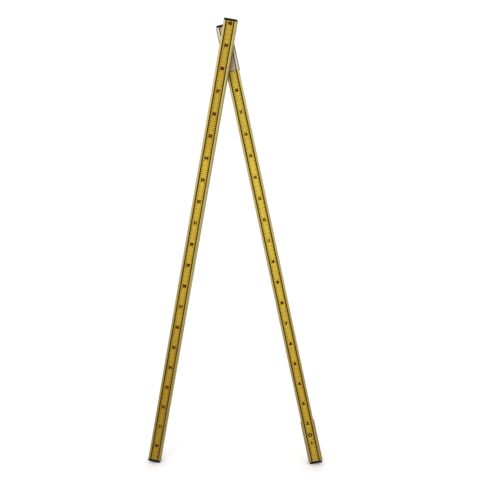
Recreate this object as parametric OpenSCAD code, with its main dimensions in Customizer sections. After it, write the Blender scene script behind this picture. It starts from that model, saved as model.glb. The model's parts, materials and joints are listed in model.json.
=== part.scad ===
/*
  Two-section levelling rod for use with a laser, drawn open as an inverted V.
  The base section stands on its foot and carries the scale from 0 to 1.9 m.
  The front section hangs on a swivelling slide shoe near the base's top and carries
  the scale from 1.9 to 4 m. Closed, it lies in front of the base. Run out, it ends at 4 m.
  X is to the right, Y runs from the scales to the back, and Z is up.
  The origin is the middle of the base's foot, which is the zero of the scale.
*/

/* [Sections] */
// Length of each section over its end caps
section_len = 2100; // [1500:10:2500]
// Width of the base section
base_w = 60; // [58:0.5:68]
// Depth of the base section
base_d = 26; // [24:1:34]
// Width of the front section
front_w = 60; // [58:0.5:66]
// Depth of the front section
front_d = 32; // [29:1:36]
// Wall of both sections
wall = 2; // [1.6:0.1:2.6]
// Radius of the long outer corners
corner_r = 2; // [1:0.25:3]
// Gap between the two sections where they pass each other
section_gap = 2; // [1.6:0.1:4]

/* [Scale seat] */
// Width of the seat that the scale strip is laid in
seat_w = 33; // [28:0.5:36]
// Depth of the seat below the rails beside it
seat_depth = 1.8; // [1.2:0.1:2.4]
// Width of the groove along each side of the seat
groove_w = 4.25; // [1.5:0.25:5]
// Depth of the groove below the seat
groove_depth = 1; // [0.5:0.1:1.5]
// Thickness of the scale strip
scale_t = 0.5; // [0.3:0.1:1]
// Bare length between a scale strip's lower end and the foot cap
scale_foot_gap = 4; // [1:0.5:20]
// Bare length between the front scale strip's upper end and the top cap
scale_top_gap = 2; // [1:0.5:20]
// Bare length at the base section's top, above its scale strip
bare_len = 208; // [160:1:400]

/* [Pose] */
// Lean of the base section from upright, top to the left
base_lean = 12.15; // [8:0.05:20]
// Lean of the front section from upright, top to the right
front_lean = 10.55; // [8:0.05:12]

/* [End caps] */
// Thickness of the part of a cap that shows
cap_t = 10; // [6:0.5:16]
// Length of the plug on a cap
plug_len = 16; // [10:1:24]
// Bevel round a cap's outer end
cap_bevel = 1.2; // [0.4:0.2:2]
// Radius of the shank of a cap screw
cap_screw_r = 1.45; // [1.2:0.05:1.6]
// Radius of the head of a cap screw
cap_screw_head_r = 2.8; // [2.2:0.1:3.2]
// Length of a cap screw
cap_screw_len = 28; // [20:1:40]
// Thickness of the rubber bumper on each front plug
bumper_t = 6; // [3:0.5:10]

/* [Sleeves] */
// Length of the sleeve round each end of the base section
sleeve_len = 196; // [150:1:260]
// Wall of a sleeve at the sides
sleeve_wall = 3.3; // [2:0.1:5]
// Wall of a sleeve at the back
sleeve_back = 3; // [2:0.1:5]
// Radius of a rivet's shank
rivet_r = 2; // [1.5:0.1:2.5]
// Radius of a rivet's head
rivet_head_r = 4; // [3.2:0.1:5]
// Distance of the rivets of a sleeve's end beyond the cap's plug there
rivet_inset = 6; // [4:1:16]
// Distance between the two rivets of a row
rivet_pitch = 40; // [34:1:44]

/* [Swivel] */
// Distance of the swivel's axis below the base's top
pivot_drop = 95; // [80:1:120]
// Radius of the swivel stud's shaft
stud_r = 7; // [5.5:0.25:8]
// Radius of the swivel stud's thread
thread_r = 5; // [4:0.25:5]
// Radius of the stud's head
stud_head_r = 10; // [9:0.5:12]
// Thickness of the stud's head
stud_head_t = 4.5; // [3:0.5:6]
// Wall of the flanged bush round the stud
bush_wall = 3; // [2:0.25:3.5]
// Radius of the bush's flange
bush_flange_r = 15.5; // [13:0.5:16]
// Thickness of the bush's flange
bush_flange_t = 1.5; // [1:0.1:1.7]
// Radius of the friction disc between the sections
disc_r = 27; // [22:0.5:28]

/* [Slide shoe] */
// Length of the slide shoe
shoe_len = 120; // [90:1:140]
// Thickness of the shoe's head
shoe_t = 10; // [8:0.5:11]
// Width of the mouth along the back of the front section
mouth_w = 28; // [27:0.5:34]
// Width of the ledge along each side of the channel, in front of the shoe
ledge_w = 6; // [4:0.5:8]
// Thickness of the ledges
ledge_t = 1.6; // [1.2:0.1:2.4]
// Length of a glide pad
pad_len = 30; // [16:1:36]
// Thickness of a glide pad
pad_t = 3; // [2:0.25:5]
// Height of a glide pad
pad_h = 6; // [4:0.5:7]

/* [Lock knob] */
// Radius of the lock knob
knob_r = 26; // [22:1:32]
// Thickness of the lock knob
knob_t = 24; // [20:1:32]
// Number of finger flutes on the knob
knob_flutes = 6; // [5:1:8]
// Radius of a finger flute
flute_r = 9; // [7:0.5:10]
// Thickness of the thrust washer
washer_t = 1.6; // [1:0.2:3]
// Height of the disc spring
spring_h = 2.4; // [2:0.2:3.4]

/* [Closing latch] */
// Height of the latch above the foot
latch_h = 145; // [100:1:170]
// Radius of the latch bolt
bolt_r = 4; // [3:0.25:4.5]
// Radius of the bush's collar on the scale side
collar_r = 8.5; // [8:0.25:10]
// Radius of the bush's barrel
barrel_r = 7.5; // [7:0.25:7.75]
// Radius of the latch's thumb knob
thumb_r = 11; // [9:0.5:14]
// Thickness of the latch's thumb knob
thumb_t = 9; // [7:0.5:12]
// How far the pushed bolt enters the catch block
catch_engage = 4; // [2:0.5:5]
// Width of the catch block in the front section
catch_w = 24; // [18:1:26]
// Height of the catch block
catch_h = 46; // [36:1:60]

/* [Clearances] */
// Clearance of a fitted plug, strip or sleeve
fit = 0.2; // [0.1:0.05:0.3]
// Clearance round a shaft that turns or slides in its bore
running = 0.05; // [0.02:0.01:0.1]
// Clearance between faces that slide past each other
glide = 0.3; // [0.2:0.05:0.4]

/* [Hidden] */
$fn = 48;

// How far a cut runs past the face that it opens
over = 1;
// How far joined shapes of one solid reach into each other
bite = 0.5;

// Sections
web_back = seat_depth + groove_depth + wall;
body_len = section_len - 2 * cap_t;
front_cavity_w = front_w - 2 * wall;
front_cavity_back = front_d - wall;
base_cavity_w = base_w - 2 * wall;
base_cavity_back = base_d - wall;
side_flute_r = 0.9;
side_flutes = 3;
side_flute_pitch = 4.5;

// Screw ports: the round channels that the cap screws cut their thread in
port_hole_r = cap_screw_r + running;
port_wall = 1.2;
port_r = port_hole_r + port_wall;
port_bite = 0.4;
front_port_x = front_cavity_w / 2 - port_r + port_bite;
base_port_x = base_cavity_w / 2 - port_r + port_bite;
port_y = web_back + port_r - port_bite;

// The base section's inner webs stand beside the pivot bush and the latch bush
web_t = 1.6;
web_gap = 2.5;
bush_r = stud_r + running + bush_wall;
web_x = bush_r + web_gap;

// Places along the sections
pivot_h = section_len - pivot_drop;
pivot_at = [-pivot_h * sin(base_lean), 0, pivot_h * cos(base_lean)];
pivot_s = pivot_h * cos(base_lean) / cos(front_lean);
upper_sleeve_z = section_len - cap_t - sleeve_len;
lower_sleeve_z = cap_t;

// Swivel stack, in depth from the base's rail plane
bush_face = seat_depth - bush_flange_t;
sleeve_face = base_d + fit + sleeve_back;
boss_gap = 1;
boss_r = mouth_w / 2 - boss_gap;
washer_y = sleeve_face + glide;
washer_rim = 5;
spring_y = washer_y + washer_t;
knob_y = spring_y + spring_h + glide;
insert_wall = 3.5;
insert_r = thread_r + insert_wall;
knob_crown = 6;
insert_len = knob_t - knob_crown;
insert_floor = 0.5;
insert_end_gap = 0.5;
thread_end = knob_y + insert_len - insert_floor - insert_end_gap;
hub_wall = 4;
hub_r = insert_r + hub_wall;

// Slide shoe, in depth from the front section's rail plane
shoe_back = front_cavity_back - glide;
shoe_front = shoe_back - shoe_t;
pad_proud = 0.5;
shoe_w = front_cavity_w - 2 * (glide + pad_proud);
shoe_taper = 8;
pad_z = shoe_len / 2 - shoe_taper - pad_len / 2 - 1;
neck_inset = 12;
neck_len = shoe_len - 2 * neck_inset;
ledge_back = shoe_front - glide;

// Latch stack, in depth from the base's rail plane
nut_t = 3.5;
nut_r = 11;
thread_end_gap = 0.5;
barrel_end = sleeve_face + nut_t + thread_end_gap;
catch_gap = 0.7;
collar_face = 0.3;
bolt_tip = collar_face + 0.2;
catch_face = shoe_front - catch_gap;
latch_travel = front_d + section_gap + bolt_tip - catch_face + catch_engage;
thumb_y = barrel_end + latch_travel + glide;
o_ring_t = 1.2;
o_ring_y = base_d / 2;

// Screw along the thumb knob's middle
thumb_screw_r = 1.5;
thumb_head_r = 3;
thumb_head_t = 1.8;
thumb_head_sink = 2.2;
thumb_seat = 3;
thumb_screw_len = thumb_t - thumb_head_sink + 4;

// Screws of the catch block, above and below its bore, in depth from the front's rail plane
catch_screw_z = catch_h / 2 - 7;
catch_screw_r = 1.5;
catch_head_r = 2.8;
catch_head_y = catch_face - fit - (catch_head_r - catch_screw_r);
catch_hole_end = seat_depth + 0.4;
catch_screw_end = catch_hole_end + fit;

// Two-dimensional outlines: x across, y in depth from the rail plane

// Rectangle with round corners, its middle at x = 0 and its front at y = 0
module round_rect(w, d, r) {
    translate([-w / 2, r]) square([w, d - 2 * r]);
    translate([-w / 2 + r, 0]) square([w - 2 * r, d]);
    for (x = [-w / 2 + r, w / 2 - r], y = [r, d - r])
        translate([x, y]) circle(r = r);
}

// Outline of a section: rails, seat with its two grooves, and fluted sides
module section_outline(w, d) {
    seat_edge = seat_w / 2;
    difference() {
        round_rect(w, d, corner_r);
        translate([-seat_edge, -over]) square([seat_w, seat_depth + over]);
        for (x = [-seat_edge - groove_w, seat_edge])
            translate([x, -over]) square([groove_w, seat_depth + groove_depth + over]);
        for (side = [-1, 1], i = [0 : side_flutes - 1])
            translate([side * w / 2, d / 2 + (i - (side_flutes - 1) / 2) * side_flute_pitch])
                circle(r = side_flute_r);
    }
}

// Screw ports at both sides of a section's cavity
module ports(x) {
    for (side = [-1, 1])
        translate([side * x, port_y]) difference() {
            circle(r = port_r);
            circle(r = port_hole_r);
        }
}

// Channel section, open along the back: the slide shoe runs between two lips and two ledges
module front_profile() {
    slot_w = front_cavity_w - 2 * ledge_w;
    difference() {
        section_outline(front_w, front_d);
        translate([-front_cavity_w / 2, web_back])
            square([front_cavity_w, front_cavity_back - web_back]);
        translate([-mouth_w / 2, front_cavity_back - over]) square([mouth_w, wall + 2 * over]);
    }
    difference() {
        translate([-front_cavity_w / 2 - bite, ledge_back - ledge_t])
            square([front_cavity_w + 2 * bite, ledge_t]);
        translate([-slot_w / 2, ledge_back - ledge_t - over]) square([slot_w, ledge_t + 2 * over]);
    }
    ports(front_port_x);
}

// Box section: a cavity that two webs split in three
module base_profile() {
    difference() {
        section_outline(base_w, base_d);
        translate([-base_cavity_w / 2, web_back])
            square([base_cavity_w, base_cavity_back - web_back]);
    }
    ports(base_port_x);
    for (side = [-1, 1])
        translate([side * (web_x + web_t / 2) - web_t / 2, web_back - bite])
            square([web_t, base_cavity_back - web_back + 2 * bite]);
}

// Frames: where the pieces of each body lie

// x across, y in depth from the base's rail plane, z up from the base's foot
module in_base() {
    rotate([0, -base_lean, 0])
        translate([0, -base_d / 2, 0])
            children();
}

// The same depth, with z along the front section from the swivel's axis
module in_pivot() {
    translate(pivot_at)
        rotate([0, front_lean, 0])
            translate([0, -base_d / 2, 0])
                children();
}

// Depth from the front section's rail plane, z from the swivel's axis
module in_channel() {
    in_pivot() translate([0, -section_gap - front_d, 0]) children();
}

// Depth from the front section's rail plane, z up from the front section's foot
module in_front() {
    in_channel() translate([0, 0, -pivot_s]) children();
}

// Cylinder along the depth, from y0 to y1
module depth_rod(r, y0, y1) {
    translate([0, y0, 0]) rotate([-90, 0, 0]) cylinder(r = r, h = y1 - y0);
}

// Block centred across and along, from y0 to y1 in depth
module depth_block(w, y0, y1, h) {
    translate([-w / 2, y0, -h / 2]) cube([w, y1 - y0, h]);
}

// Plate with cut corners in the plane of the faces, from y0 to y1 in depth
module cut_plate(w, y0, y1, h, cut) {
    translate([0, y1, 0]) rotate([90, 0, 0]) linear_extrude(y1 - y0) polygon([
        [-w / 2 + cut, -h / 2],
        [w / 2 - cut, -h / 2],
        [w / 2, -h / 2 + cut],
        [w / 2, h / 2 - cut],
        [w / 2 - cut, h / 2],
        [-w / 2 + cut, h / 2],
        [-w / 2, h / 2 - cut],
        [-w / 2, -h / 2 + cut]
    ]);
}

// Cap plate with its outer end at z = 0 and bevelled all round; it lies above z = 0
module cap_plate(w, d) {
    difference() {
        linear_extrude(cap_t) round_rect(w, d, corner_r);
        for (turn = [0 : 90 : 270])
            translate([0, d / 2, 0]) rotate([0, 0, turn])
                translate([(turn % 180 == 0 ? w : d) / 2, 0, 0])
                    rotate([90, 0, 0]) linear_extrude(2 * w, center = true) polygon([
                        [-cap_bevel, -over],
                        [-cap_bevel, 0],
                        [0, cap_bevel],
                        [over, cap_bevel],
                        [over, -over]
                    ]);
    }
}

// Holes for the two screws of a cap, with their countersinks at z = 0
module cap_screw_holes(x) {
    for (side = [-1, 1])
        translate([side * x, port_y, 0]) {
            translate([0, 0, -over]) cylinder(r = cap_screw_r + fit, h = cap_t + plug_len + 2 * over);
            cylinder(r1 = cap_screw_head_r + fit, r2 = cap_screw_r, h = cap_screw_head_r + fit - cap_screw_r);
        }
}

// The two screws of a cap, heads at z = 0
module cap_screws(x) {
    for (side = [-1, 1])
        translate([side * x, port_y, 0]) {
            translate([0, 0, fit]) {
                cylinder(r1 = cap_screw_head_r, r2 = cap_screw_r, h = cap_screw_head_r - cap_screw_r);
                cylinder(r = cap_screw_r, h = cap_screw_len);
            }
        }
}

// Puts a foot-end shape on the top end of a section as well
module at_top() {
    translate([0, 0, section_len]) mirror([0, 0, 1]) children();
}

// Plug of a base cap: one block in each chamber of the box section
module base_plug() {
    side_w = base_cavity_w / 2 - web_x - web_t;
    low_y = port_y + port_r + fit;
    translate([-web_x + fit, web_back + fit, cap_t - bite])
        cube([2 * (web_x - fit), base_cavity_back - web_back - 2 * fit, plug_len + bite]);
    for (side = [-1, 1])
        translate([side * (web_x + web_t + side_w / 2) - side_w / 2 + fit, low_y, cap_t - bite])
            cube([side_w - 2 * fit, base_cavity_back - fit - low_y, plug_len + bite]);
}

// Plug of a front cap: a wide block in the channel and a narrower one between the ledges
module front_plug() {
    wide = front_cavity_w - 2 * fit;
    narrow = front_cavity_w - 2 * (ledge_w + fit);
    low_y = port_y + port_r + fit;
    channel_y = ledge_back + fit;
    translate([-wide / 2, channel_y, cap_t - bite])
        cube([wide, front_cavity_back - fit - channel_y, plug_len + bite]);
    translate([-narrow / 2, low_y, cap_t - bite])
        cube([narrow, channel_y - low_y + bite, plug_len + bite]);
}

module base_cap() {
    difference() {
        union() {
            cap_plate(base_w, base_d);
            base_plug();
        }
        cap_screw_holes(base_port_x);
    }
}

module front_cap() {
    difference() {
        union() {
            cap_plate(front_w, front_d);
            front_plug();
        }
        cap_screw_holes(front_port_x);
    }
}

// Base section and what is fixed to it

// Places of the rivets on a sleeve's back, measured from the sleeve's lower end
module at_rivets(sleeve_z) {
    end_z = plug_len + rivet_inset;
    for (x = [-rivet_pitch / 2, rivet_pitch / 2], z = [end_z, sleeve_len - end_z])
        translate([x, 0, sleeve_z + z]) children();
}

module rivet_bores() {
    for (sleeve_z = [lower_sleeve_z, upper_sleeve_z])
        at_rivets(sleeve_z)
            depth_rod(rivet_r + running, base_cavity_back - over, sleeve_face + over);
}

module base_section() {
    color("silver") in_base() difference() {
        translate([0, 0, cap_t]) linear_extrude(body_len) base_profile();
        translate([0, 0, pivot_h]) depth_rod(bush_r, -over, base_d + over);
        translate([0, 0, latch_h]) depth_rod(barrel_r, -over, base_d + over);
        rivet_bores();
    }
}

module base_scale() {
    low = cap_t + scale_foot_gap;
    color("goldenrod") in_base() difference() {
        translate([-seat_w / 2, seat_depth - scale_t, low])
            cube([seat_w, scale_t, section_len - bare_len - low]);
        translate([0, 0, latch_h]) depth_rod(collar_r + fit, -over, seat_depth + over);
    }
}

module base_top_cap() {
    color("black") in_base() at_top() base_cap();
}

module base_foot_cap() {
    color("black") in_base() base_cap();
}

// Three-sided sleeve round the sides and the back of the base section
module sleeve(sleeve_z) {
    outer_w = base_w + 2 * (fit + sleeve_wall);
    inner_w = base_w + 2 * fit;
    outer_corner_r = corner_r + 1;
    translate([0, 0, sleeve_z]) linear_extrude(sleeve_len) difference() {
        translate([0, -outer_corner_r]) round_rect(outer_w, sleeve_face + outer_corner_r, outer_corner_r);
        translate([0, -2 * outer_corner_r])
            round_rect(inner_w, base_d + fit + 2 * outer_corner_r, corner_r);
        translate([-outer_w / 2, -2 * outer_corner_r]) square([outer_w, 2 * outer_corner_r]);
    }
}

module upper_sleeve() {
    color("darkgray") in_base() difference() {
        sleeve(upper_sleeve_z);
        translate([0, 0, pivot_h]) depth_rod(bush_r + fit, base_d - over, sleeve_face + over);
        rivet_bores();
    }
}

module lower_sleeve() {
    color("darkgray") in_base() difference() {
        sleeve(lower_sleeve_z);
        translate([0, 0, latch_h]) depth_rod(barrel_r + fit, base_d - over, sleeve_face + over);
        rivet_bores();
    }
}

// Dome-headed rivets through each sleeve's back and the base's back wall
module sleeve_rivets() {
    head_t = 1.4;
    dome_r = 2 * rivet_head_r;
    tail_r = rivet_r + 0.8;
    tail_t = 2;
    color("lightgray") in_base()
        for (sleeve_z = [lower_sleeve_z, upper_sleeve_z])
            at_rivets(sleeve_z) {
                depth_rod(rivet_r, base_cavity_back - bite, sleeve_face + bite);
                depth_rod(tail_r, base_cavity_back - tail_t, base_cavity_back);
                translate([0, sleeve_face, 0]) rotate([-90, 0, 0]) intersection() {
                    cylinder(r = rivet_head_r, h = head_t);
                    translate([0, 0, head_t - dome_r]) sphere(r = dome_r);
                }
            }
}

module base_cap_screws() {
    color("dimgray") in_base() {
        cap_screws(base_port_x);
        at_top() cap_screws(base_port_x);
    }
}

// Flanged bush: its flange lies in the seat and its barrel runs out to the sleeve's back
module pivot_bush() {
    color("peru") in_base() translate([0, 0, pivot_h]) difference() {
        union() {
            depth_rod(bush_flange_r, bush_face, seat_depth);
            depth_rod(bush_r, seat_depth - bite, sleeve_face);
        }
        depth_rod(stud_r + running, -over, sleeve_face + over);
    }
}

// Closing latch: a bolt that is pushed through the base into the front section's catch block

module latch_bush() {
    color("black") in_base() translate([0, 0, latch_h]) difference() {
        union() {
            depth_rod(collar_r, collar_face, seat_depth);
            depth_rod(barrel_r, seat_depth - bite, barrel_end);
        }
        depth_rod(bolt_r + running, -over, barrel_end + over);
        depth_rod(bolt_r + running + 2 * o_ring_t, o_ring_y - o_ring_t, o_ring_y + o_ring_t);
    }
}

module latch_nut() {
    color("dimgray") in_base() translate([0, 0, latch_h]) difference() {
        translate([0, sleeve_face, 0]) rotate([-90, 0, 0]) cylinder(r = nut_r, h = nut_t, $fn = 6);
        depth_rod(barrel_r + running, sleeve_face - over, barrel_end + over);
    }
}

module latch_o_ring() {
    color("black") in_base() translate([0, o_ring_y, latch_h]) rotate([-90, 0, 0])
        rotate_extrude() translate([bolt_r + running + o_ring_t, 0]) circle(r = o_ring_t, $fn = 24);
}

module latch_bolt() {
    tip_bevel = 0.8;
    bolt_end = thumb_y + thumb_seat;
    screw_end = thumb_y + thumb_t - thumb_head_sink - thumb_screw_len;
    color("khaki") in_base() translate([0, 0, latch_h]) difference() {
        union() {
            translate([0, bolt_tip, 0]) rotate([-90, 0, 0])
                cylinder(r1 = bolt_r - tip_bevel, r2 = bolt_r, h = tip_bevel);
            depth_rod(bolt_r, bolt_tip + tip_bevel, bolt_end);
        }
        depth_rod(thumb_screw_r + running, screw_end - over, bolt_end + over);
    }
}

// Round thumb knob with a waist, pushed and pulled from behind
module thumb_knob() {
    waist_r = thumb_r - 3;
    edge = 1;
    color("black") in_base() translate([0, thumb_y, latch_h]) rotate([-90, 0, 0]) difference() {
        rotate_extrude() polygon([
            [0, 0],
            [waist_r, 0],
            [waist_r, thumb_t / 3],
            [thumb_r - edge, thumb_t / 2],
            [thumb_r, thumb_t / 2 + edge],
            [thumb_r, thumb_t - edge],
            [thumb_r - edge, thumb_t],
            [0, thumb_t]
        ]);
        translate([0, 0, -over]) cylinder(r = bolt_r + running, h = thumb_seat + over);
        cylinder(r = thumb_screw_r + fit, h = thumb_t + over);
        translate([0, 0, thumb_t - thumb_head_sink])
            cylinder(r = thumb_head_r + fit, h = thumb_head_sink + over);
    }
}

module thumb_screw() {
    head_y = thumb_y + thumb_t - thumb_head_sink;
    color("dimgray") in_base() translate([0, 0, latch_h]) {
        depth_rod(thumb_head_r, head_y, head_y + thumb_head_t);
        depth_rod(thumb_screw_r, head_y - thumb_screw_len, head_y + bite);
    }
}

// Slide shoe and swivel: what turns with the front section but doesn't slide with it

module slide_shoe() {
    color("gray") in_channel() difference() {
        union() {
            cut_plate(shoe_w, shoe_front, shoe_back, shoe_len, shoe_taper);
            depth_block(mouth_w - 2 * glide, shoe_back - bite, front_d, neck_len);
            depth_rod(boss_r, front_d - bite, front_d + section_gap + bush_face - glide);
        }
        depth_rod(stud_r, shoe_front - over, front_d + section_gap + over);
        depth_rod(stud_head_r, shoe_front - over, shoe_front + stud_head_t);
        for (side = [-1, 1], z = [-pad_z, pad_z])
            translate([side * shoe_w / 2, (shoe_front + shoe_back) / 2, z])
                cube([2 * (pad_t - pad_proud), pad_h, pad_len], center = true);
    }
}

// Four glide pads let into the shoe's sides, standing a little proud of it
module glide_pads() {
    pad_x = shoe_w / 2 + pad_proud - pad_t / 2;
    color("white") in_channel()
        for (side = [-1, 1], z = [-pad_z, pad_z])
            translate([side * pad_x, (shoe_front + shoe_back) / 2, z])
                cube([pad_t, pad_h, pad_len], center = true);
}

module swivel_stud() {
    head_y = shoe_front - front_d - section_gap;
    color("lightsteelblue") in_pivot() {
        depth_rod(stud_head_r, head_y, head_y + stud_head_t);
        depth_rod(stud_r, head_y + stud_head_t - bite, sleeve_face);
        depth_rod(thread_r, sleeve_face - bite, thread_end);
    }
}

// Ring between the sections that the knob squeezes to lock the swivel and the slide
module friction_disc() {
    color("darkslategray") in_pivot() difference() {
        depth_rod(disc_r, -section_gap + glide, -glide);
        depth_rod(boss_r + running, -section_gap, 0);
    }
}

module thrust_washer() {
    color("silver") in_pivot() difference() {
        depth_rod(bush_r + washer_rim, washer_y, washer_y + washer_t);
        depth_rod(thread_r + fit, washer_y - over, washer_y + washer_t + over);
    }
}

// Conical disc spring between the washer and the knob
module disc_spring() {
    thick = 1;
    in_r = thread_r + fit;
    out_r = bush_r + 3;
    color("darkgray") in_pivot() translate([0, spring_y, 0]) rotate([-90, 0, 0])
        rotate_extrude() polygon([
            [out_r, 0],
            [out_r, thick],
            [in_r, spring_h],
            [in_r, spring_h - thick]
        ]);
}

// Fluted hand knob with a domed back
module lock_knob() {
    edge = 3;
    recess = 2;
    rim_r = knob_r - 2 * edge - flute_r / 2;
    color("black") in_pivot() translate([0, knob_y, 0]) rotate([-90, 0, 0]) difference() {
        rotate_extrude() {
            square([knob_r - edge, knob_t]);
            translate([0, edge]) square([knob_r, knob_t - 2 * edge]);
            for (z = [edge, knob_t - edge])
                translate([knob_r - edge, z]) circle(r = edge);
        }
        for (i = [0 : knob_flutes - 1])
            rotate([0, 0, i * 360 / knob_flutes])
                translate([knob_r + flute_r / 2, 0, -over]) cylinder(r = flute_r, h = knob_t + 2 * over);
        translate([0, 0, -over]) cylinder(r = insert_r, h = insert_len + over);
        translate([0, 0, -over]) difference() {
            cylinder(r = rim_r, h = recess + over);
            cylinder(r = hub_r, h = recess + over);
        }
    }
}

module knob_insert() {
    color("goldenrod") in_pivot() difference() {
        depth_rod(insert_r, knob_y, knob_y + insert_len);
        depth_rod(thread_r + running, knob_y - over, thread_end + insert_end_gap);
    }
}

// Front section and what slides with it

module front_section() {
    color("silver") in_front() difference() {
        translate([0, 0, cap_t]) linear_extrude(body_len) front_profile();
        at_catch_screws() depth_rod(catch_screw_r + running, catch_hole_end, web_back + over);
    }
}

module front_scale() {
    low = cap_t + scale_foot_gap;
    high = section_len - cap_t - scale_top_gap;
    color("goldenrod") in_front()
        translate([-seat_w / 2, seat_depth - scale_t, low])
            cube([seat_w, scale_t, high - low]);
}

module front_top_cap() {
    color("black") in_front() at_top() front_cap();
}

module front_foot_cap() {
    color("black") in_front() front_cap();
}

module front_cap_screws() {
    color("dimgray") in_front() {
        cap_screws(front_port_x);
        at_top() cap_screws(front_port_x);
    }
}

// Rubber block on a front plug, where the shoe comes to rest
module bumper() {
    inset = 2;
    channel_y = ledge_back + fit;
    translate([-front_cavity_w / 2 + inset, channel_y, cap_t + plug_len])
        cube([front_cavity_w - 2 * inset, front_cavity_back - fit - channel_y, bumper_t]);
}

module upper_bumper() {
    color("dimgray") in_front() at_top() bumper();
}

module lower_bumper() {
    color("dimgray") in_front() bumper();
}

// Catch of the closing latch: a block on the web, in front of the slide shoe's path

module at_catch_screws() {
    for (z = [-catch_screw_z, catch_screw_z])
        translate([0, 0, latch_h + z]) children();
}

// Block with the bore that the latch bolt enters when the rod is closed
module catch_block() {
    corner_cut = 3;
    lead_in = 1.2;
    bore_r = bolt_r + glide;
    hole_r = catch_screw_r + running;
    sink = catch_face - catch_head_y;
    color("gray") in_front() difference() {
        translate([0, 0, latch_h]) cut_plate(catch_w, web_back, catch_face, catch_h, corner_cut);
        translate([0, 0, latch_h]) {
            depth_rod(bore_r, web_back - over, catch_face + over);
            translate([0, catch_face - lead_in, 0]) rotate([-90, 0, 0])
                cylinder(r1 = bore_r, r2 = bore_r + lead_in, h = lead_in);
        }
        at_catch_screws() {
            depth_rod(hole_r, web_back - over, catch_face + over);
            translate([0, catch_head_y, 0]) rotate([-90, 0, 0])
                cylinder(r1 = hole_r, r2 = hole_r + sink, h = sink);
        }
    }
}

// Countersunk screws that are driven through the mouth of the channel
module catch_screws() {
    color("dimgray") in_front() at_catch_screws() {
        depth_rod(catch_screw_r, catch_screw_end, catch_head_y + bite);
        translate([0, catch_head_y, 0]) rotate([-90, 0, 0])
            cylinder(r1 = catch_screw_r, r2 = catch_head_r, h = catch_head_r - catch_screw_r);
    }
}

base_section();
base_scale();
base_top_cap();
base_foot_cap();
upper_sleeve();
lower_sleeve();
sleeve_rivets();
base_cap_screws();
pivot_bush();
latch_bush();
latch_nut();
latch_o_ring();
latch_bolt();
thumb_knob();
thumb_screw();
slide_shoe();
glide_pads();
swivel_stud();
friction_disc();
thrust_washer();
disc_spring();
lock_knob();
knob_insert();
front_section();
front_scale();
front_top_cap();
front_foot_cap();
front_cap_screws();
upper_bumper();
lower_bumper();
catch_block();
catch_screws();
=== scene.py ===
"""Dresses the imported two-section levelling rod and sets a plain studio round it.

Lengths are in metres, and a name that ends in _mm holds millimetres. A section's own axes
are across (to the right), depth (from its rails to its back) and along (up from its foot).
"""

import json
import logging
import math
from dataclasses import dataclass, replace
from enum import Enum
from typing import Callable, Iterable

import bmesh
import bpy
from mathutils import Euler, Matrix, Vector


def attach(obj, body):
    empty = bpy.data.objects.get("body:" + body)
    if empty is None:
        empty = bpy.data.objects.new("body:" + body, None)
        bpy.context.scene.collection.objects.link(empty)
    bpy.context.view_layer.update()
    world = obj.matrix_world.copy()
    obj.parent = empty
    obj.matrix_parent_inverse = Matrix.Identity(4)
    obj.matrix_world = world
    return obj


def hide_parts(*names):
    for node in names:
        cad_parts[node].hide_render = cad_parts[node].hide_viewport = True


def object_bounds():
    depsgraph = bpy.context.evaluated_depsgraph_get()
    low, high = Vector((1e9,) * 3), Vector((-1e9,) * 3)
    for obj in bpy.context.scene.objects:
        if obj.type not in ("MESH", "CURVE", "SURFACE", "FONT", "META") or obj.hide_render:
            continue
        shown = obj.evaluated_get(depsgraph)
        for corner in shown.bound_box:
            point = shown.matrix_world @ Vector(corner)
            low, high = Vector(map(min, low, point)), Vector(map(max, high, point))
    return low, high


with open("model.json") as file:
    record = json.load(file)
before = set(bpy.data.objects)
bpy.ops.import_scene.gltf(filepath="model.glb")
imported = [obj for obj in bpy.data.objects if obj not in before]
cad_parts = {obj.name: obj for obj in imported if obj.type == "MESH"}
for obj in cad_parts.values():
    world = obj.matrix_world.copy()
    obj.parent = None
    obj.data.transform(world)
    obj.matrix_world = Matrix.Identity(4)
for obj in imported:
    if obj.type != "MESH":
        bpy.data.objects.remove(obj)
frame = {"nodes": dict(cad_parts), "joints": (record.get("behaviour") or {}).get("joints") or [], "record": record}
# Lowest and highest corner of the CAD model, measured before anything is added
CAD_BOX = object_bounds()
# One millimetre
MM = 0.001
# Direction from the rails to the back of either section
BACK = Vector((0.0, 1.0, 0.0))
# Points nearer than this are one in a CAD mesh or in the print
NEAR = 0.001 * MM
# Points nearer than this are one in a turned shape or a screw
TOUCHING = 0.0001 * MM
# An edge that bends more than this shows as an edge
SHARP_DEG = 35.0

Colour = tuple[float, float, float, float]
Cell = tuple[float, float, float]
# Pattern heights between which a fade runs and, where it isn't 0 to 1, the values it gives there
Band = tuple[float, ...]
Point = tuple[float, float]
Profile = list[Point]
Shape = bmesh.types.BMesh
Socket = bpy.types.NodeSocket

log = logging.getLogger("levelling_rod")


# Named options


class Side(Enum):
    """The two edges of a scale strip."""

    LEFT = -1
    RIGHT = 1


class Head(Enum):
    """Forms of a screw's head."""

    COUNTERSUNK = "countersunk"
    PAN = "pan"


class Slot(Enum):
    """The record's material slots."""

    PRINT = "scale_yellow"
    PLASTIC = "cap_black"
    STEEL = "screw_steel"
    ALLOY = "bright_alloy"


# Colours and the frame's own measures


def tone(red: int, green: int, blue: int) -> Colour:
    """Turns a screen colour into the linear colour that a shader takes.

    Args:
        red: Red, 0 to 255.
        green: Green, 0 to 255.
        blue: Blue, 0 to 255.

    Returns:
        The linear colour with full alpha.
    """
    parts = (red / 255, green / 255, blue / 255)
    linear = (part / 12.92 if part <= 0.04045 else ((part + 0.055) / 1.055) ** 2.4 for part in parts)
    return (*linear, 1.0)


def joint(name: str) -> dict:
    """Gives a joint of the frame by its name."""
    return next(entry for entry in frame["joints"] if entry["name"] == name)


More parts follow.
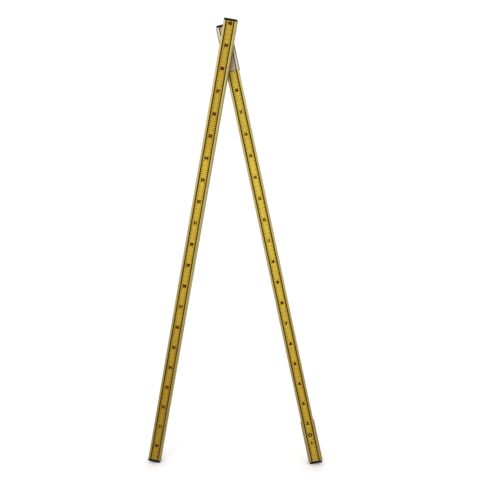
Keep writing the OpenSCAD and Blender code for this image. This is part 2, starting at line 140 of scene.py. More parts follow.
def body_of(node: str) -> str:
    """Gives the body that a CAD node belongs to."""
    bodies = frame["record"]["behaviour"]["bodies"]
    return next(body for body, nodes in bodies.items() if node in nodes)


@dataclass(frozen=True)
class SectionAxes:
    """Axes of one section of the rod.

    Attributes:
        foot: Middle of the section's foot, on the plane of its rails.
        up: Direction from the foot to the top.
        body: Body that the section belongs to.
    """

    foot: Vector
    up: Vector
    body: str

    @classmethod
    def on(cls, up: Vector, body: str, rails: str, foot_cap: str) -> "SectionAxes":
        """Measures a section's axes from its nodes.

        Args:
            up: Direction from its foot to its top.
            body: Body that it belongs to.
            rails: Node whose front is the plane of the rails.
            foot_cap: Node whose lower end is the foot.

        Returns:
            The section's axes.
        """
        rough = cls(Vector((0.0, 0.0, 0.0)), up.normalized(), body)
        low, high = rough.span(foot_cap)
        rail_plane = rough.span(rails)[0].y
        return cls(rough.matrix() @ Vector(((low.x + high.x) / 2, rail_plane, low.z)), rough.up, body)

    @property
    def right(self) -> Vector:
        """Direction across the section, to the right as the scale is read."""
        return BACK.cross(self.up)

    def matrix(self) -> Matrix:
        """Gives the matrix from (across, depth, along) to the row frame."""
        turn = Matrix((self.right, BACK, self.up)).transposed().to_4x4()
        return Matrix.Translation(self.foot) @ turn

    def span(self, node: str) -> tuple[Vector, Vector]:
        """Measures a CAD node along the section's own axes.

        Args:
            node: Name of the node.

        Returns:
            The lowest and the highest (across, depth, along).
        """
        to_local = self.matrix().inverted()
        return limits(to_local @ vert.co for vert in frame["nodes"][node].data.vertices)

    def middle(self, node: str) -> Vector:
        """Gives the middle (across, depth, along) of a node."""
        low, high = self.span(node)
        return (low + high) / 2

    def radius(self, node: str) -> float:
        """Gives half of a node's width."""
        low, high = self.span(node)
        return (high.x - low.x) / 2

    def solids(self, node: str) -> list[tuple[Vector, Vector]]:
        """Measures each solid of a CAD node along the section's own axes.

        Args:
            node: Name of the node.

        Returns:
            The lowest and the highest (across, depth, along) of each solid, from the foot up.
        """
        bm = bmesh.new()
        bm.from_mesh(frame["nodes"][node].data)
        bmesh.ops.remove_doubles(bm, verts=bm.verts, dist=NEAR)
        bm.transform(self.matrix().inverted())
        # Points that a chain of edges joins are on one solid
        left = set(bm.verts)
        spans = []
        while left:
            queue = [left.pop()]
            points = []
            while queue:
                vert = queue.pop()
                points.append(vert.co.copy())
                near = [edge.other_vert(vert) for edge in vert.link_edges]
                queue.extend(other for other in near if other in left)
                left.difference_update(near)
            spans.append(limits(points))
        bm.free()
        return sorted(spans, key=lambda span: (round(span[0].z, 5), round(span[0].x, 5)))


def limits(points: Iterable[Vector]) -> tuple[Vector, Vector]:
    """Gives the lowest and the highest corner of the box round some points."""
    parts = list(zip(*points))
    return Vector(map(min, parts)), Vector(map(max, parts))


# Finishes


@dataclass(frozen=True)
class Relief:
    """Fine relief of a surface.

    Attributes:
        depth_mm: Height of the pattern's peaks.
        strength: Share of the pattern that shows.
        round_mm: Radius of the surface's edges.
    """

    depth_mm: float
    strength: float
    round_mm: float


class ShaderTree:
    """Writes one material's nodes, with its pattern coordinates in a section's own millimetres."""

    # Cosines between the true and the rounded surface where wear is full and where it ends
    EDGE_BAND: Band = (0.9, 0.99, 1.0, 0.0)
    # Pattern heights where wear starts and is full
    WEAR_BAND: Band = (0.42, 0.6)
    # Rays that feel for an edge round each point
    EDGE_RAYS = 4

    def __init__(self, name: str, axes: SectionAxes) -> None:
        """Starts an empty material.

        Args:
            name: Name of the material.
            axes: Section whose across, depth and along the patterns follow.
        """
        self.material = bpy.data.materials.new(name)
        self.material.use_nodes = True
        self.tree = self.material.node_tree
        self.tree.nodes.clear()
        self.output = self.node("ShaderNodeOutputMaterial")
        self.shader = self.node("ShaderNodeBsdfPrincipled")
        self.link(self.shader.outputs["BSDF"], self.output.inputs["Surface"])
        where = self.node("ShaderNodeTexCoord").outputs["Object"]
        turn = axes.matrix().to_euler()
        self.local = self.mapped(where, axes.foot, turn, Vector((MM, MM, MM)))

    def node(self, kind: str) -> bpy.types.Node:
        """Adds a node of a kind."""
        return self.tree.nodes.new(kind)

    def link(self, source: Socket, target: Socket) -> None:
        """Links one socket to another."""
        self.tree.links.new(source, target)

    def put(self, target: Socket, value: object) -> None:
        """Links a socket to a target, or sets a plain value on it.

        Args:
            target: Socket that takes the value.
            value: Socket or plain value.
        """
        if isinstance(value, Socket):
            self.link(value, target)
        else:
            target.default_value = value

    def mapped(self, where: Socket, origin: Vector, turn: Euler, unit: Vector) -> Socket:
        """Reads coordinates in another frame.

        Args:
            where: Coordinates to read.
            origin: Origin of the other frame.
            turn: Turn of the other frame.
            unit: Length of one unit along each of its axes.

        Returns:
            The coordinates in that frame and those units.
        """
        mapping = self.node("ShaderNodeMapping")
        mapping.vector_type = "TEXTURE"
        mapping.inputs["Location"].default_value = origin
        mapping.inputs["Rotation"].default_value = turn
        mapping.inputs["Scale"].default_value = unit
        self.link(where, mapping.inputs["Vector"])
        return mapping.outputs["Vector"]

    def noise(self, cell_mm: Cell, detail: float = 3.0) -> Socket:
        """Adds smooth noise.

        Args:
            cell_mm: Size of its patches across, in depth and along.
            detail: Octaves of finer noise.

        Returns:
            Its height, from 0 to 1.
        """
        node = self.node("ShaderNodeTexNoise")
        node.inputs["Scale"].default_value = 1.0
        node.inputs["Detail"].default_value = detail
        self.link(self.mapped(self.local, Vector(), Euler(), Vector(cell_mm)), node.inputs["Vector"])
        return node.outputs["Fac"]

    def axis(self, name: str) -> Socket:
        """Gives one of the section's own coordinates.

        Args:
            name: X across, Y in depth or Z along.

        Returns:
            The coordinate in millimetres.
        """
        split = self.node("ShaderNodeSeparateXYZ")
        self.link(self.local, split.inputs["Vector"])
        return split.outputs[name]

    def from_middle(self) -> Socket:
        """Gives the distance from the section's middle plane in millimetres."""
        return self.calc("ABSOLUTE", self.axis("X"))

    def in_front(self, behind_mm: float = 4.0, blur_mm: float = 0.5) -> Socket:
        """Gives 1 on the front face and its seat, and 0 behind this depth."""
        return self.fade(self.axis("Y"), behind_mm, behind_mm + blur_mm, 1.0, 0.0)

    def calc(self, operation: str, *values: object) -> Socket:
        """Adds a Math node.

        Args:
            operation: What it does.
            *values: Up to three sockets or numbers.

        Returns:
            Its result.
        """
        node = self.node("ShaderNodeMath")
        node.operation = operation
        for slot, value in zip(node.inputs, values):
            self.put(slot, value)
        return node.outputs["Value"]

    def times(self, first: Socket, *others: Socket) -> Socket:
        """Multiplies two or more values.

        Args:
            first: First value.
            *others: The other values.

        Returns:
            Their product.
        """
        product = first
        for value in others:
            product = self.calc("MULTIPLY", product, value)
        return product

    def fade(
        self, value: object, low: float, high: float, start: float = 0.0, end: float = 1.0
    ) -> Socket:
        """Maps a value smoothly from one range to another, held at both ends.

        Args:
            value: Value to map.
            low: Where the mapped value starts to change.
            high: Where it stops.
            start: Mapped value at low.
            end: Mapped value at high.

        Returns:
            The mapped value.
        """
        node = self.node("ShaderNodeMapRange")
        node.interpolation_type = "SMOOTHSTEP"
        self.put(node.inputs["Value"], value)
        for name, number in (("From Min", low), ("From Max", high), ("To Min", start), ("To Max", end)):
            node.inputs[name].default_value = number
        return node.outputs["Result"]

    def blend(self, factor: object, first: object, second: object) -> Socket:
        """Mixes two colours.

        Args:
            factor: Share of the second, 0 to 1.
            first: Colour or socket.
            second: Colour or socket.

        Returns:
            The mixed colour.
        """
        node = self.node("ShaderNodeMix")
        node.data_type = "RGBA"
        # The sockets for colours come after those for numbers and vectors
        self.put(node.inputs[0], factor)
        self.put(node.inputs[6], first)
        self.put(node.inputs[7], second)
        return node.outputs[2]

    def rounded(self, radius_mm: float) -> Socket:
        """Rounds the surface's edges in the shading.

        Args:
            radius_mm: Radius of the edges.

        Returns:
            The surface's direction with rounded edges.
        """
        node = self.node("ShaderNodeBevel")
        node.samples = self.EDGE_RAYS
        node.inputs["Radius"].default_value = radius_mm * MM
        return node.outputs["Normal"]

    def edge_wear(self, radius_mm: float, patchy: Socket) -> Socket:
        """Marks the edges where handling has rubbed the finish off.

        Args:
            radius_mm: How far the wear reaches from an edge.
            patchy: Pattern that breaks the wear up, 0 to 1.

        Returns:
            1 on the worn edges and 0 elsewhere.
        """
        node = self.node("ShaderNodeVectorMath")
        node.operation = "DOT_PRODUCT"
        self.link(self.rounded(radius_mm), node.inputs[0])
        self.link(self.node("ShaderNodeNewGeometry").outputs["Normal"], node.inputs[1])
        on_edge = self.fade(node.outputs["Value"], *self.EDGE_BAND)
        return self.times(on_edge, self.fade(patchy, *self.WEAR_BAND))

    def bump(self, height: Socket, relief: Relief) -> None:
        """Raises the surface by a height pattern and rounds its edges.

        Args:
            height: Pattern, 0 to 1.
            relief: How far it is raised and rounded.
        """
        node = self.node("ShaderNodeBump")
        node.inputs["Strength"].default_value = relief.strength
        node.inputs["Distance"].default_value = relief.depth_mm * MM
        self.link(height, node.inputs["Height"])
        self.link(self.rounded(relief.round_mm), node.inputs["Normal"])
        self.link(node.outputs["Normal"], self.shader.inputs["Normal"])

    def set(self, **values: object) -> None:
        """Sets or links the shader's own sockets, named with _ for a space."""
        for name, value in values.items():
            self.put(self.shader.inputs[name.replace("_", " ")], value)


class Finish:
    """What every finish has: a material that it paints."""

    def build(self, name: str, axes: SectionAxes) -> bpy.types.Material:
        """Builds the material.

        Args:
            name: Name of the material.
            axes: Section that its patterns follow.

        Returns:
            The material.
        """
        tree = ShaderTree(name, axes)
        self.paint(tree)
        return tree.material

    def paint(self, tree: ShaderTree) -> None:
        """Writes the finish into a material's tree."""
        raise NotImplementedError


@dataclass(frozen=True)
class FootSoil:
    """Painted shade that is darkest at a section's foot and ends higher up, for light falling off there.

    Attributes:
        share: Share of the painted shade at the foot, 0 to 1.
        to_mm: Height at which the painted shade ends.
        colour: Colour of the painted shade.
        thinnest: Share of it that the thinnest patches keep.
        patch_band: Pattern heights of the thinnest and of the full patches.
    """

    share: float
    to_mm: float
    colour: Colour
    thinnest: float
    patch_band: Band = (0.2, 0.6)

    def lay(self, tree: ShaderTree, colour: Socket, patches: Socket) -> Socket:
        """Lays the painted shade over a colour.

        Args:
            tree: Tree of the material.
            colour: Colour below.
            patches: Pattern that makes the painted shade uneven.

        Returns:
            The new colour.
        """
        # Painted shade: darker towards the foot, standing in for light that falls off there
        low_down = tree.fade(tree.axis("Z"), 0.0, self.to_mm, self.share, 0.0)
        uneven = tree.fade(patches, *self.patch_band, self.thinnest, 1.0)
        return tree.blend(tree.times(low_down, uneven), colour, self.colour)


# Painted shade towards the feet of the metal and of the film
METAL_FOOT_SHADE = FootSoil(share=0.6, to_mm=1300.0, colour=tone(136, 112, 56), thinnest=0.7)
FILM_FOOT_SHADE = FootSoil(share=0.78, to_mm=1500.0, colour=tone(128, 94, 10), thinnest=0.75)


@dataclass(frozen=True)
class PaintedGrooves:
    """Painted shade in the two grooves beside a scale strip, standing for their shadow.

    Attributes:
        from_mm: Distance of the grooves' inner edges from the middle.
        width_mm: Width of each groove.
        depth_mm: Depth below the rails where the painted shade starts.
        depth_blur_mm: Depth over which it comes in.
        blur_mm: Width of the painted shade's soft edges.
        paint: Colour of the painted shade.
    """

    from_mm: float
    width_mm: float = 4.25
    depth_mm: float = 0.25
    depth_blur_mm: float = 0.2
    blur_mm: float = 0.08
    # Colour of the painted shade in the grooves
    paint: Colour = tone(60, 44, 0)

    def mask(self, tree: ShaderTree) -> Socket:
        """Marks the grooves.

        Args:
            tree: Tree of the material.

        Returns:
            1 in the grooves and 0 elsewhere.
        """
        out = tree.from_middle()
        blur = self.blur_mm
        to_mm = self.from_mm + self.width_mm
        inner = tree.fade(out, self.from_mm - blur, self.from_mm + blur)
        outer = tree.fade(out, to_mm + blur, to_mm + 2 * blur, 1.0, 0.0)
        sunk = tree.fade(tree.axis("Y"), self.depth_mm, self.depth_mm + self.depth_blur_mm)
        return tree.times(inner, outer, sunk, tree.in_front())


@dataclass(frozen=True)
class BareZone:
    """Greyer bare metal above the scale strip.

    Attributes:
        from_mm: Height at which the zone starts.
        over_mm: Length over which it comes in.
        seat_from_mm: Depth below the rails where the seat's colour starts.
        seat_blur_mm: Depth over which it comes in.
        seat: Colour of the strip's seat.
        rail: Colour of the rails.
        rail_band: How the streaks thin out the rails' colour.
        seat_band: How they come through on the seat.
    """

    from_mm: float
    over_mm: float = 1.0
    seat_from_mm: float = 1.5
    seat_blur_mm: float = 0.2
    seat: Colour = tone(152, 137, 122)
    rail: Colour = tone(190, 182, 170)
    rail_band: Band = (0.3, 0.8, 1.0, 0.7)
    seat_band: Band = (0.3, 0.8, 0.0, 0.4)

    def paint(self, tree: ShaderTree, colour: Socket, streaks: Socket, dull: Colour) -> Socket:
        """Lays the zone over a colour.

        Args:
            tree: Tree of the material.
            colour: Colour below.
            streaks: The extrusion's streaks.
            dull: Colour of the duller streaks.

        Returns:
            The new colour.
        """
        above = tree.fade(tree.axis("Z"), self.from_mm, self.from_mm + self.over_mm)
        seat_from = self.seat_from_mm
        sunk = tree.fade(tree.axis("Y"), seat_from, seat_from + self.seat_blur_mm)
        on_rails = tree.times(above, tree.fade(streaks, *self.rail_band))
        colour = tree.blend(on_rails, colour, self.rail)
        streaked = tree.blend(tree.fade(streaks, *self.seat_band), self.seat, dull)
        return tree.blend(tree.times(sunk, tree.in_front(), above), colour, streaked)


@dataclass(frozen=True)
class AnodisedExtrusion(Finish):
    """Anodised aluminium with the long fine lines of an extrusion.

    Attributes:
        light: Colour of the clean rails.
        dull: Colour of the duller streaks.
        side: Colour of the painted shade on the sides, as though they faced away from the light.
        side_from_mm: Distance of the shaded sides from the middle, None where there are none.
        side_blur_mm: How far from the sides their painted shade starts, and where it is full.
        side_lap_mm: Width of the band of painted shade along the right rail's edge.
        side_lap_share: Share of the sides' shade colour in that band.
        side_lap_blur_mm: Half the width of that band's soft edge.
        rubbed: Colour of the metal on the rubbed edges.
        soil: Painted shade that darkens the section towards its foot.
        grooves: Painted shade in the grooves beside the scale.
        bare: Bare zone above the scale.
        streak_mm: Size of the extrusion's streaks across, in depth and along.
        cloud_mm: Size of the dull clouds.
        speck_mm: Size of the fine specks.
        rub_mm: Size of the rubbed patches on the edges.
        rub_from_edge_mm: How far the rubbing reaches from an edge.
        metallic: How metallic the bare surface is.
        specular: Specular level of the surface.
        streak_band: How the streaks turn dull.
        cloud_band: How the clouds turn dull.
        wear_band: How the specks break up the painted shade on the sides.
        rough_band: How rough the specks make the surface.
        relief: Relief of the streaks.
    """

    light: Colour = tone(188, 171, 106)
    dull: Colour = tone(169, 150, 84)
    # Painted shade on the sides, darker as though they faced away from the light
    side: Colour = tone(147, 136, 76)
    side_from_mm: float | None = None
    side_blur_mm: tuple[float, float] = (1.2, 0.2)
    side_lap_mm: float = 0.0
    side_lap_share: float = 0.7
    side_lap_blur_mm: float = 0.8
    rubbed: Colour = tone(196, 190, 168)
    soil: FootSoil = METAL_FOOT_SHADE
    grooves: PaintedGrooves | None = None
    bare: BareZone | None = None
    streak_mm: Cell = (0.35, 0.35, 420.0)
    cloud_mm: Cell = (40.0, 40.0, 260.0)
    speck_mm: Cell = (1.1, 1.1, 2.4)
    rub_mm: Cell = (3.0, 3.0, 14.0)
    rub_from_edge_mm: float = 0.5
    metallic: float = 0.75
    specular: float = 0.05
    streak_band: Band = (0.35, 0.7)
    cloud_band: Band = (0.45, 0.75, 0.0, 0.35)
    wear_band: Band = (0.3, 0.7, 0.0, 0.3)
    rough_band: Band = (0.2, 0.8, 0.36, 0.5)
    relief: Relief = Relief(depth_mm=0.03, strength=0.6, round_mm=0.35)

    def paint(self, tree: ShaderTree) -> None:
        """Writes the finish into a material's tree.

        Args:
            tree: Tree of the material.
        """
        streaks = tree.noise(self.streak_mm, detail=4.0)
        clouds = tree.noise(self.cloud_mm)
        specks = tree.noise(self.speck_mm, detail=5.0)
        colour = tree.blend(tree.fade(streaks, *self.streak_band), self.light, self.dull)
        colour = tree.blend(tree.fade(clouds, *self.cloud_band), colour, self.dull)
        # Painted shade on the sides and on a band of the right rail
        if self.side_from_mm is not None:
            colour = self.handled(tree, colour, specks)
        if self.bare is not None:
            colour = self.bare.paint(tree, colour, streaks, self.dull)
        # Painted shade, darker towards the foot
        colour = self.soil.lay(tree, colour, clouds)
        worn = tree.edge_wear(self.rub_from_edge_mm, tree.noise(self.rub_mm, detail=5.0))
        colour = tree.blend(worn, colour, self.rubbed)
        if self.grooves is None:
            tree.set(Metallic=self.metallic)
        else:
            # Painted shade in the grooves: darkened and not metallic
            in_groove_shade = self.grooves.mask(tree)
            colour = tree.blend(in_groove_shade, colour, self.grooves.paint)
            tree.set(Metallic=tree.fade(in_groove_shade, 0.0, 1.0, self.metallic, 0.0))
        tree.set(Base_Color=colour, Specular_IOR_Level=self.specular)
        tree.set(Roughness=tree.fade(specks, *self.rough_band))
        tree.bump(streaks, self.relief)

    def handled(self, tree: ShaderTree, colour: Socket, specks: Socket) -> Socket:
        """Lays painted shade on the sides, and on the band that laps on to the right rail, over a colour.

        Args:
            tree: Tree of the material.
            colour: Colour below.
            specks: Fine pattern that breaks up the painted shade.

        Returns:
            The new colour.
        """
        # Painted shade: the sides, and a band along the right rail, darkened as though turned from the light
        edge = self.side_from_mm
        start, full = self.side_blur_mm
        in_side_shade = tree.fade(tree.from_middle(), edge - start, edge - full)
        if self.side_lap_mm:
            lap = edge - self.side_lap_mm
            blur = self.side_lap_blur_mm
            in_lap_shade = tree.fade(tree.axis("X"), lap - blur, lap + blur, 0.0, self.side_lap_share)
            in_side_shade = tree.calc("MAXIMUM", in_side_shade, in_lap_shade)
        # Colour of the painted side shade, broken up by the specks
        worn = tree.blend(tree.fade(specks, *self.wear_band), self.side, self.dull)
        return tree.blend(in_side_shade, colour, worn)


@dataclass(frozen=True)
class PrintedFilm(Finish):
    """Yellow scale strip under a satin film, with a dark line along each edge.

    Attributes:
        yellow: Main colour.
        deep: Deeper yellow of the worn patches.
        pale: Paler yellow of the rubbed patches.
        soil: Painted shade that darkens the film towards its foot.
        handled: Colour of the upper part, which is held most.
        handled_share: Share of that colour at its strongest.
        handled_from_mm: Height at which it starts.
        handled_over_mm: Length over which it comes in.
        border: Colour of the line along each edge.
        border_from_mm: Distance of those lines from the middle.
        line_blur_mm: Half the width of those lines' soft edge.
        ring_at_mm: Height of the painted shadow ring round a fitting.
        ring_r_mm: Radius of that painted shadow ring, 0 for none.
        ring_blur_mm: Width of the painted shadow ring's soft edge.
        patch_mm: Size of the worn patches across, in depth and along.
        rub_mm: Size of the rubbed streaks.
        grain_mm: Size of the film's grain.
        specular: Specular level of the film.
        patch_band: How the worn patches deepen the yellow.
        rub_band: How the rubbed streaks pale it.
        rough_band: How rough the rubbing makes the film.
        relief: Relief of the grain.
    """

    yellow: Colour = tone(194, 164, 52)
    deep: Colour = tone(188, 153, 46)
    pale: Colour = tone(202, 176, 72)
    soil: FootSoil = FILM_FOOT_SHADE
    handled: Colour = tone(150, 118, 30)
    handled_share: float = 0.4
    handled_from_mm: float = 1450.0
    handled_over_mm: float = 120.0
    border: Colour = tone(80, 58, 0)
    border_from_mm: float = 14.7
    line_blur_mm: float = 0.1
    ring_at_mm: float = 0.0
    ring_r_mm: float = 0.0
    ring_blur_mm: float = 0.3
    patch_mm: Cell = (14.0, 14.0, 45.0)
    rub_mm: Cell = (6.0, 6.0, 160.0)
    grain_mm: Cell = (0.25, 0.25, 0.25)
    specular: float = 0.1
    patch_band: Band = (0.4, 0.7)
    rub_band: Band = (0.52, 0.8, 0.0, 0.8)
    rough_band: Band = (0.3, 0.8, 0.42, 0.58)
    relief: Relief = Relief(depth_mm=0.01, strength=0.5, round_mm=0.1)

    def paint(self, tree: ShaderTree) -> None:
        """Writes the finish into a material's tree.

        Args:
            tree: Tree of the material.
        """
        patches = tree.noise(self.patch_mm, detail=4.0)
        rubbed = tree.noise(self.rub_mm, detail=5.0)
        grain = tree.noise(self.grain_mm, detail=2.0)
        colour = tree.blend(tree.fade(patches, *self.patch_band), self.yellow, self.deep)
        colour = tree.blend(tree.fade(rubbed, *self.rub_band), colour, self.pale)
        # Painted shade, darker towards the foot
        colour = self.soil.lay(tree, colour, patches)
        start = self.handled_from_mm
        end = start + self.handled_over_mm
        held = tree.fade(tree.axis("Z"), start, end, 0.0, self.handled_share)
        colour = tree.blend(held, colour, self.handled)
        colour = tree.blend(self.lines(tree), colour, self.border)
        tree.set(Base_Color=colour, Specular_IOR_Level=self.specular)
        tree.set(Roughness=tree.fade(rubbed, *self.rough_band))
        tree.bump(grain, self.relief)

    def lines(self, tree: ShaderTree) -> Socket:
        """Marks the lines along the edges and the painted shadow ring round a fitting.

        Args:
            tree: Tree of the material.

        Returns:
            1 on the lines and on the painted shadow ring, and 0 elsewhere.
        """
        out = tree.from_middle()
        blur = self.line_blur_mm
        marked = tree.fade(out, self.border_from_mm - blur, self.border_from_mm + blur)
        # Painted shadow round the fitting's collar, in the border's colour
        if self.ring_r_mm:
            up = tree.calc("SUBTRACT", tree.axis("Z"), self.ring_at_mm)
            away = tree.calc("SQRT", tree.calc("ADD", tree.times(out, out), tree.times(up, up)))
            in_ring_shadow = tree.fade(away, self.ring_r_mm - self.ring_blur_mm, self.ring_r_mm, 1.0, 0.0)
            marked = tree.calc("MAXIMUM", marked, in_ring_shadow)
        return marked


@dataclass(frozen=True)
class PrintInk(Finish):
    """Dark brown ink, a little thin where it is worn.

    Attributes:
        full: Colour of the full ink.
        thin: Colour where the ink is thin.
        wear_mm: Size of the worn patches.
        specular: Specular level of the ink.
        wear_band: How the wear thins the ink.
        rough_band: How rough it makes the ink.
        relief: Relief of the wear.
    """

    full: Colour = tone(62, 28, 0)
    thin: Colour = tone(90, 48, 0)
    wear_mm: Cell = (1.4, 1.4, 1.8)
    specular: float = 0.02
    wear_band: Band = (0.5, 0.72)
    rough_band: Band = (0.3, 0.7, 0.4, 0.6)
    relief: Relief = Relief(depth_mm=0.01, strength=0.4, round_mm=0.03)

    def paint(self, tree: ShaderTree) -> None:
        """Writes the finish into a material's tree.

        Args:
            tree: Tree of the material.
        """
        wear = tree.noise(self.wear_mm, detail=5.0)
        worn = tree.fade(wear, *self.wear_band)
        tree.set(Base_Color=tree.blend(worn, self.full, self.thin))
        tree.set(Roughness=tree.fade(wear, *self.rough_band), Specular_IOR_Level=self.specular)
        tree.bump(wear, self.relief)


@dataclass(frozen=True)
class MouldedPlastic(Finish):
    """Moulded plastic or rubber with a fine grain and scuffs.

    Attributes:
        base: Main colour.
        scuff: Colour of the scuffs.
        grain_mm: Size of the grain.
        gloss: Roughness of the clean surface.
        sheen: Specular level of the surface.
        scuff_mm: Size of the scuffs across, in depth and along.
        scuff_band: How the scuffs change the colour.
        rough_band: Pattern heights between which they roughen the surface.
        scuff_rough: How much rougher than the clean surface they are.
        relief: Relief of the grain.
    """

    base: Colour = tone(7, 6, 4)
    scuff: Colour = tone(30, 28, 25)
    grain_mm: float = 0.35
    gloss: float = 0.5
    sheen: float = 0.12
    scuff_mm: Cell = (9.0, 5.0, 1.6)
    scuff_band: Band = (0.56, 0.75, 0.0, 0.8)
    rough_band: Band = (0.4, 0.7)
    scuff_rough: float = 0.2
    relief: Relief = Relief(depth_mm=0.04, strength=0.6, round_mm=0.5)

    def paint(self, tree: ShaderTree) -> None:
        """Writes the finish into a material's tree.

        Args:
            tree: Tree of the material.
        """
        grain = tree.noise((self.grain_mm,) * 3, detail=2.0)
        scuffs = tree.noise(self.scuff_mm, detail=6.0)
        scuffed = tree.fade(scuffs, *self.scuff_band)
        rough = tree.fade(scuffs, *self.rough_band, self.gloss, self.gloss + self.scuff_rough)
        tree.set(Base_Color=tree.blend(scuffed, self.base, self.scuff))
        tree.set(Roughness=rough, Specular_IOR_Level=self.sheen)
        tree.bump(grain, self.relief)


@dataclass(frozen=True)
class WorkedMetal(Finish):
    """Metal with the fine lines of turning or brushing.

    Attributes:
        base: Main colour.
        tarnish: Colour of the tarnished patches.
        line_mm: Spacing of the lines across, in depth and along.
        gloss: Roughness of the bright surface.
        patch_mm: Size of the tarnished patches.
        patch_band: Pattern heights where the tarnish starts and is full.
        rough_band: Pattern heights between which it roughens the surface.
        tarnish_rough: How much rougher than the bright surface it is.
        relief: Relief of the lines.
    """

    base: Colour = tone(170, 168, 162)
    tarnish: Colour = tone(148, 143, 133)
    line_mm: Cell = (6.0, 0.2, 6.0)
    gloss: float = 0.28
    patch_mm: Cell = (3.5, 3.5, 3.5)
    patch_band: Band = (0.45, 0.75)
    rough_band: Band = (0.3, 0.75)
    tarnish_rough: float = 0.2
    relief: Relief = Relief(depth_mm=0.02, strength=0.6, round_mm=0.2)

    def paint(self, tree: ShaderTree) -> None:
        """Writes the finish into a material's tree.

        Args:
            tree: Tree of the material.
        """
        lines = tree.noise(self.line_mm, detail=3.0)
        patches = tree.noise(self.patch_mm, detail=5.0)
        colour = tree.blend(tree.fade(patches, *self.patch_band), self.base, self.tarnish)
        rough = tree.fade(patches, *self.rough_band, self.gloss, self.gloss + self.tarnish_rough)
        tree.set(Base_Color=colour, Metallic=1.0, Roughness=rough)
        tree.bump(lines, self.relief)


ZINC_STEEL = WorkedMetal()
BRONZE = WorkedMetal(base=tone(214, 176, 92), tarnish=tone(176, 138, 62))
BRIGHT_ALLOY = WorkedMetal(base=tone(196, 196, 192), tarnish=tone(160, 158, 150), gloss=0.34)
BLACK_PLASTIC = MouldedPlastic()
SOFT_RUBBER = MouldedPlastic(base=tone(30, 30, 30), scuff=tone(70, 68, 66), grain_mm=0.8, gloss=0.7)
WAXY_PLASTIC = MouldedPlastic(base=tone(214, 212, 202), scuff=tone(180, 176, 164), gloss=0.4)
FRICTION_FIBRE = MouldedPlastic(base=tone(84, 78, 70), scuff=tone(110, 102, 92), grain_mm=0.6, gloss=0.75)
SLEEVE_ALLOY = AnodisedExtrusion(light=tone(140, 126, 92), dull=tone(112, 100, 72))


# Shapes and pieces


def mend(shape: Shape, near: float) -> None:
    """Merges the points that are nearer than this, and turns all faces outwards."""
    bmesh.ops.remove_doubles(shape, verts=shape.verts, dist=near)
    bmesh.ops.recalc_face_normals(shape, faces=shape.faces)


def mesh_of(shape: Shape, name: str) -> bpy.types.Mesh:
    """Turns a shape into a mesh.

    Args:
        shape: The shape. It is freed.
        name: Name of the mesh.

    Returns:
        The mesh.
    """
    mesh = bpy.data.meshes.new(name)
    shape.to_mesh(mesh)
    shape.free()
    return mesh


def in_scene(data: bpy.types.ID, name: str) -> bpy.types.Object:
    """Adds an object to the scene.

    Args:
        data: Its mesh, light or camera.
        name: Name of the object.

    Returns:
        The object.
    """
    item = bpy.data.objects.new(name, data)
    bpy.context.scene.collection.objects.link(item)
    return item


def facing(place: Vector, direction: Vector) -> Matrix:
    """Gives the matrix that puts a shape at a place with its Z along a direction."""
    turn = direction.to_track_quat("Z", "Y").to_matrix().to_4x4()
    return Matrix.Translation(place) @ turn


def spun(profile: Profile, steps: int = 48) -> Shape:
    """Spins a profile about Z into a closed shape.

    Args:
        profile: (radius, height) of its points. One that leaves the axis is closed to a ring.
        steps: Faces round the axis.

    Returns:
        The shape.
    """
    bm = bmesh.new()
    verts = [bm.verts.new((radius, 0.0, height)) for radius, height in profile]
    edges = [bm.edges.new(pair) for pair in zip(verts, verts[1:])]
    if profile[0][0] > 0:
        edges.append(bm.edges.new((verts[-1], verts[0])))
    bmesh.ops.spin(
        bm,
        geom=verts + edges,
        cent=(0, 0, 0),
        axis=(0, 0, 1),
        angle=2 * math.pi,
        steps=steps,
        use_merge=True,
    )
    mend(bm, TOUCHING)
    return bm


def upper_round(radius: float, height: float, size: float, steps: int = 4) -> Profile:
    """Gives the points of a rounded outer edge, from the flat above to the side.

    Args:
        radius: Radius of the side.
        height: Height of the flat.
        size: Radius of the round.
        steps: Faces of the round.

    Returns:
        Its (radius, height) points.
    """
    angles = [math.pi / 2 * step / steps for step in range(steps + 1)]
    return [(radius - size * (1 - math.sin(a)), height - size * (1 - math.cos(a))) for a in angles]


def joined(shapes: Iterable[Shape]) -> Shape:
    """Puts several shapes in one.

    Args:
        shapes: The shapes. They are freed.

    Returns:
        The shape that holds them all.
    """
    whole = bmesh.new()
    for shape in shapes:
        mesh = mesh_of(shape, "part")
        whole.from_mesh(mesh)
        bpy.data.meshes.remove(mesh)
    return whole


def new_piece(
    name: str, shape: Shape, look: bpy.types.Material, body: str
) -> bpy.types.Object:
    """Turns a finished shape into a piece that rides on a body.

    Args:
        name: Name of the piece.
        shape: Its shape in the row frame. It is freed.
        look: Its material.
        body: Body that it rides on.

    Returns:
        The piece.
    """
    mesh = mesh_of(shape, name)
    mesh.materials.append(look)
    mesh.shade_smooth()
    mesh.set_sharp_from_angle(angle=math.radians(SHARP_DEG))
    piece = in_scene(mesh, name)
    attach(piece, body)
    log.info("piece %s: %d faces on body %s", name, len(mesh.polygons), body)
    return piece


def stand_in(
    node: str, ending: str, shape: Shape, axes: SectionAxes, look: bpy.types.Material
) -> None:
    """Lets a detailed shape stand for a CAD node.

    Args:
        node: The node. It is hidden.
        ending: What the piece's name adds to the node's.
        shape: The shape in a section's own axes. It is freed.
        axes: That section's axes.
        look: Its material.
    """
    shape.transform(axes.matrix())
    piece = new_piece(f"{node}_{ending}", shape, look, body_of(node))
    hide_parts(node)


def dress(look: bpy.types.Material, *nodes: str) -> None:
    """Gives CAD nodes a material.

    Args:
        look: The material.
        *nodes: Names of the nodes.
    """
    for name in nodes:
        slots = frame["nodes"][name].data.materials
        slots.clear()
        slots.append(look)
        log.info("node %s: %s", name, look.name)


# Fasteners


